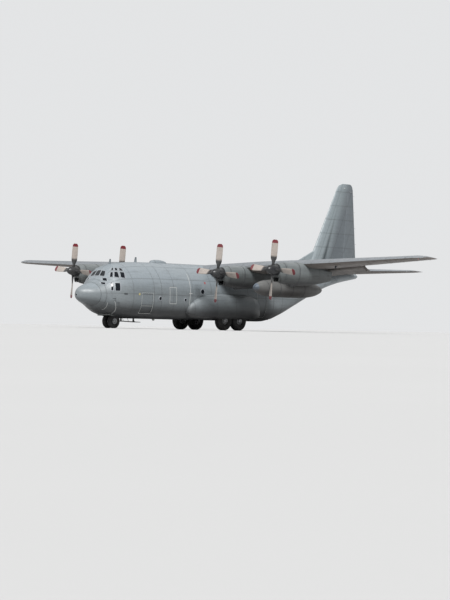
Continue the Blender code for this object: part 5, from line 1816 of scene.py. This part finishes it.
class MakeStudio(AeroplaneOperator):
    """Pale floor, soft lights and the camera at the photograph's place"""
    bl_idname = "aeroplane.studio"
    bl_label = "Studio"

    def make(self, scene):
        studio = scene.aeroplane_studio
        scene.view_settings.view_transform = "Standard"
        self.world(scene, studio.sky)
        mesh = bpy.data.meshes.new("studio_floor")
        rim = [(FLOOR_RADIUS * math.cos(a), FLOOR_RADIUS * math.sin(a), 0.0)
               for a in turns(64)]
        mesh.from_pydata(rim, [], [tuple(range(64))])
        floor = bpy.data.objects.new("studio_floor", mesh)
        scene.collection.objects.link(floor)
        material, s, shader, coords = new_material("studio floor", colours().floor, 0.9)
        shade = s.ranged(s.noise(coords, 0.6), 0.3, 0.7)
        low = tuple(0.985 * value for value in colours().floor)
        s.feed(shader.inputs["Base Color"], s.mix(shade, low, colours().floor))
        mesh.materials.append(material)
        for name, (towards, softness, share) in LIGHTS.items():
            self.light(scene, name, towards, softness, studio.key * share)
        self.camera(scene, studio.lens)

    def world(self, scene, strength):
        world = bpy.data.worlds.new("studio world")
        world.use_nodes = True
        background = world.node_tree.nodes["Background"]
        background.inputs["Color"].default_value = (0.93, 0.94, 0.95, 1)
        build = Shading(world.node_tree)
        seen = build.node("ShaderNodeLightPath").outputs["Is Camera Ray"]
        build.feed(background.inputs["Strength"],
                   build.math("ADD", AMBIENT, build.math("MULTIPLY", seen, strength - AMBIENT)))
        scene.world = world

    def light(self, scene, name, towards, softness, power):
        lamp_data = bpy.data.lights.new(f"{name} light", "SUN")
        lamp_data.angle = math.radians(softness)
        lamp_data.energy = power
        lamp_object = bpy.data.objects.new(f"{name} light", lamp_data)
        lamp_object.location = Vector(towards) * 30
        lamp_object.rotation_euler = Vector(towards).to_track_quat("Z", "Y").to_euler()
        scene.collection.objects.link(lamp_object)

    def camera(self, scene, lens):
        camera = bpy.data.cameras.new("camera")
        camera.lens = lens
        camera.sensor_fit = "VERTICAL"
        camera.sensor_height = 36.0
        camera.clip_end = 1000.0
        camera.shift_x, camera.shift_y = CAMERA_SHIFT
        eye = bpy.data.objects.new("camera", camera)
        turn = Matrix((CAMERA_RIGHT, CAMERA_UP, -Vector(CAMERA_AHEAD))).transposed()
        eye.matrix_world = Matrix.Translation(CAMERA_SPOT) @ turn.to_4x4()
        scene.collection.objects.link(eye)
        scene.camera = eye


OPERATORS = (MakeFuselage, MakeGlazing, MakeWings, MakeEngines, MakePropellers, MakeTanks,
             MakeWheels, MakeGear, MakeInterior, MakeMarkings, MakeStudio)
SETTINGS = {"aeroplane_skin": AeroplaneSkin, "aeroplane_colours": AeroplaneColours,
            "aeroplane_studio": AeroplaneStudio}


class AEROPLANE_PT_panel(bpy.types.Panel):
    bl_label = "Aeroplane"
    bl_space_type = "VIEW_3D"
    bl_region_type = "UI"
    bl_category = "Aeroplane"

    def draw(self, context):
        for operator in OPERATORS:
            self.layout.operator(operator.bl_idname)
        for name in SETTINGS:
            settings = getattr(context.scene, name)
            for key in settings.__annotations__:
                self.layout.prop(settings, key)


def register():
    for kind in (*SETTINGS.values(), *OPERATORS, AEROPLANE_PT_panel):
        bpy.utils.register_class(kind)
    for name, kind in SETTINGS.items():
        setattr(bpy.types.Scene, name, PointerProperty(type=kind))


def unregister():
    for name in SETTINGS:
        delattr(bpy.types.Scene, name)
    for kind in reversed((*SETTINGS.values(), *OPERATORS, AEROPLANE_PT_panel)):
        bpy.utils.unregister_class(kind)


def main():
    register()
    for operator in OPERATORS:
        group, name = operator.bl_idname.split(".")
        result = getattr(getattr(bpy.ops, group), name)()
        if result != {"FINISHED"}:
            raise RuntimeError(f"{operator.bl_label} did not finish")


if __name__ == "__main__":
    main()
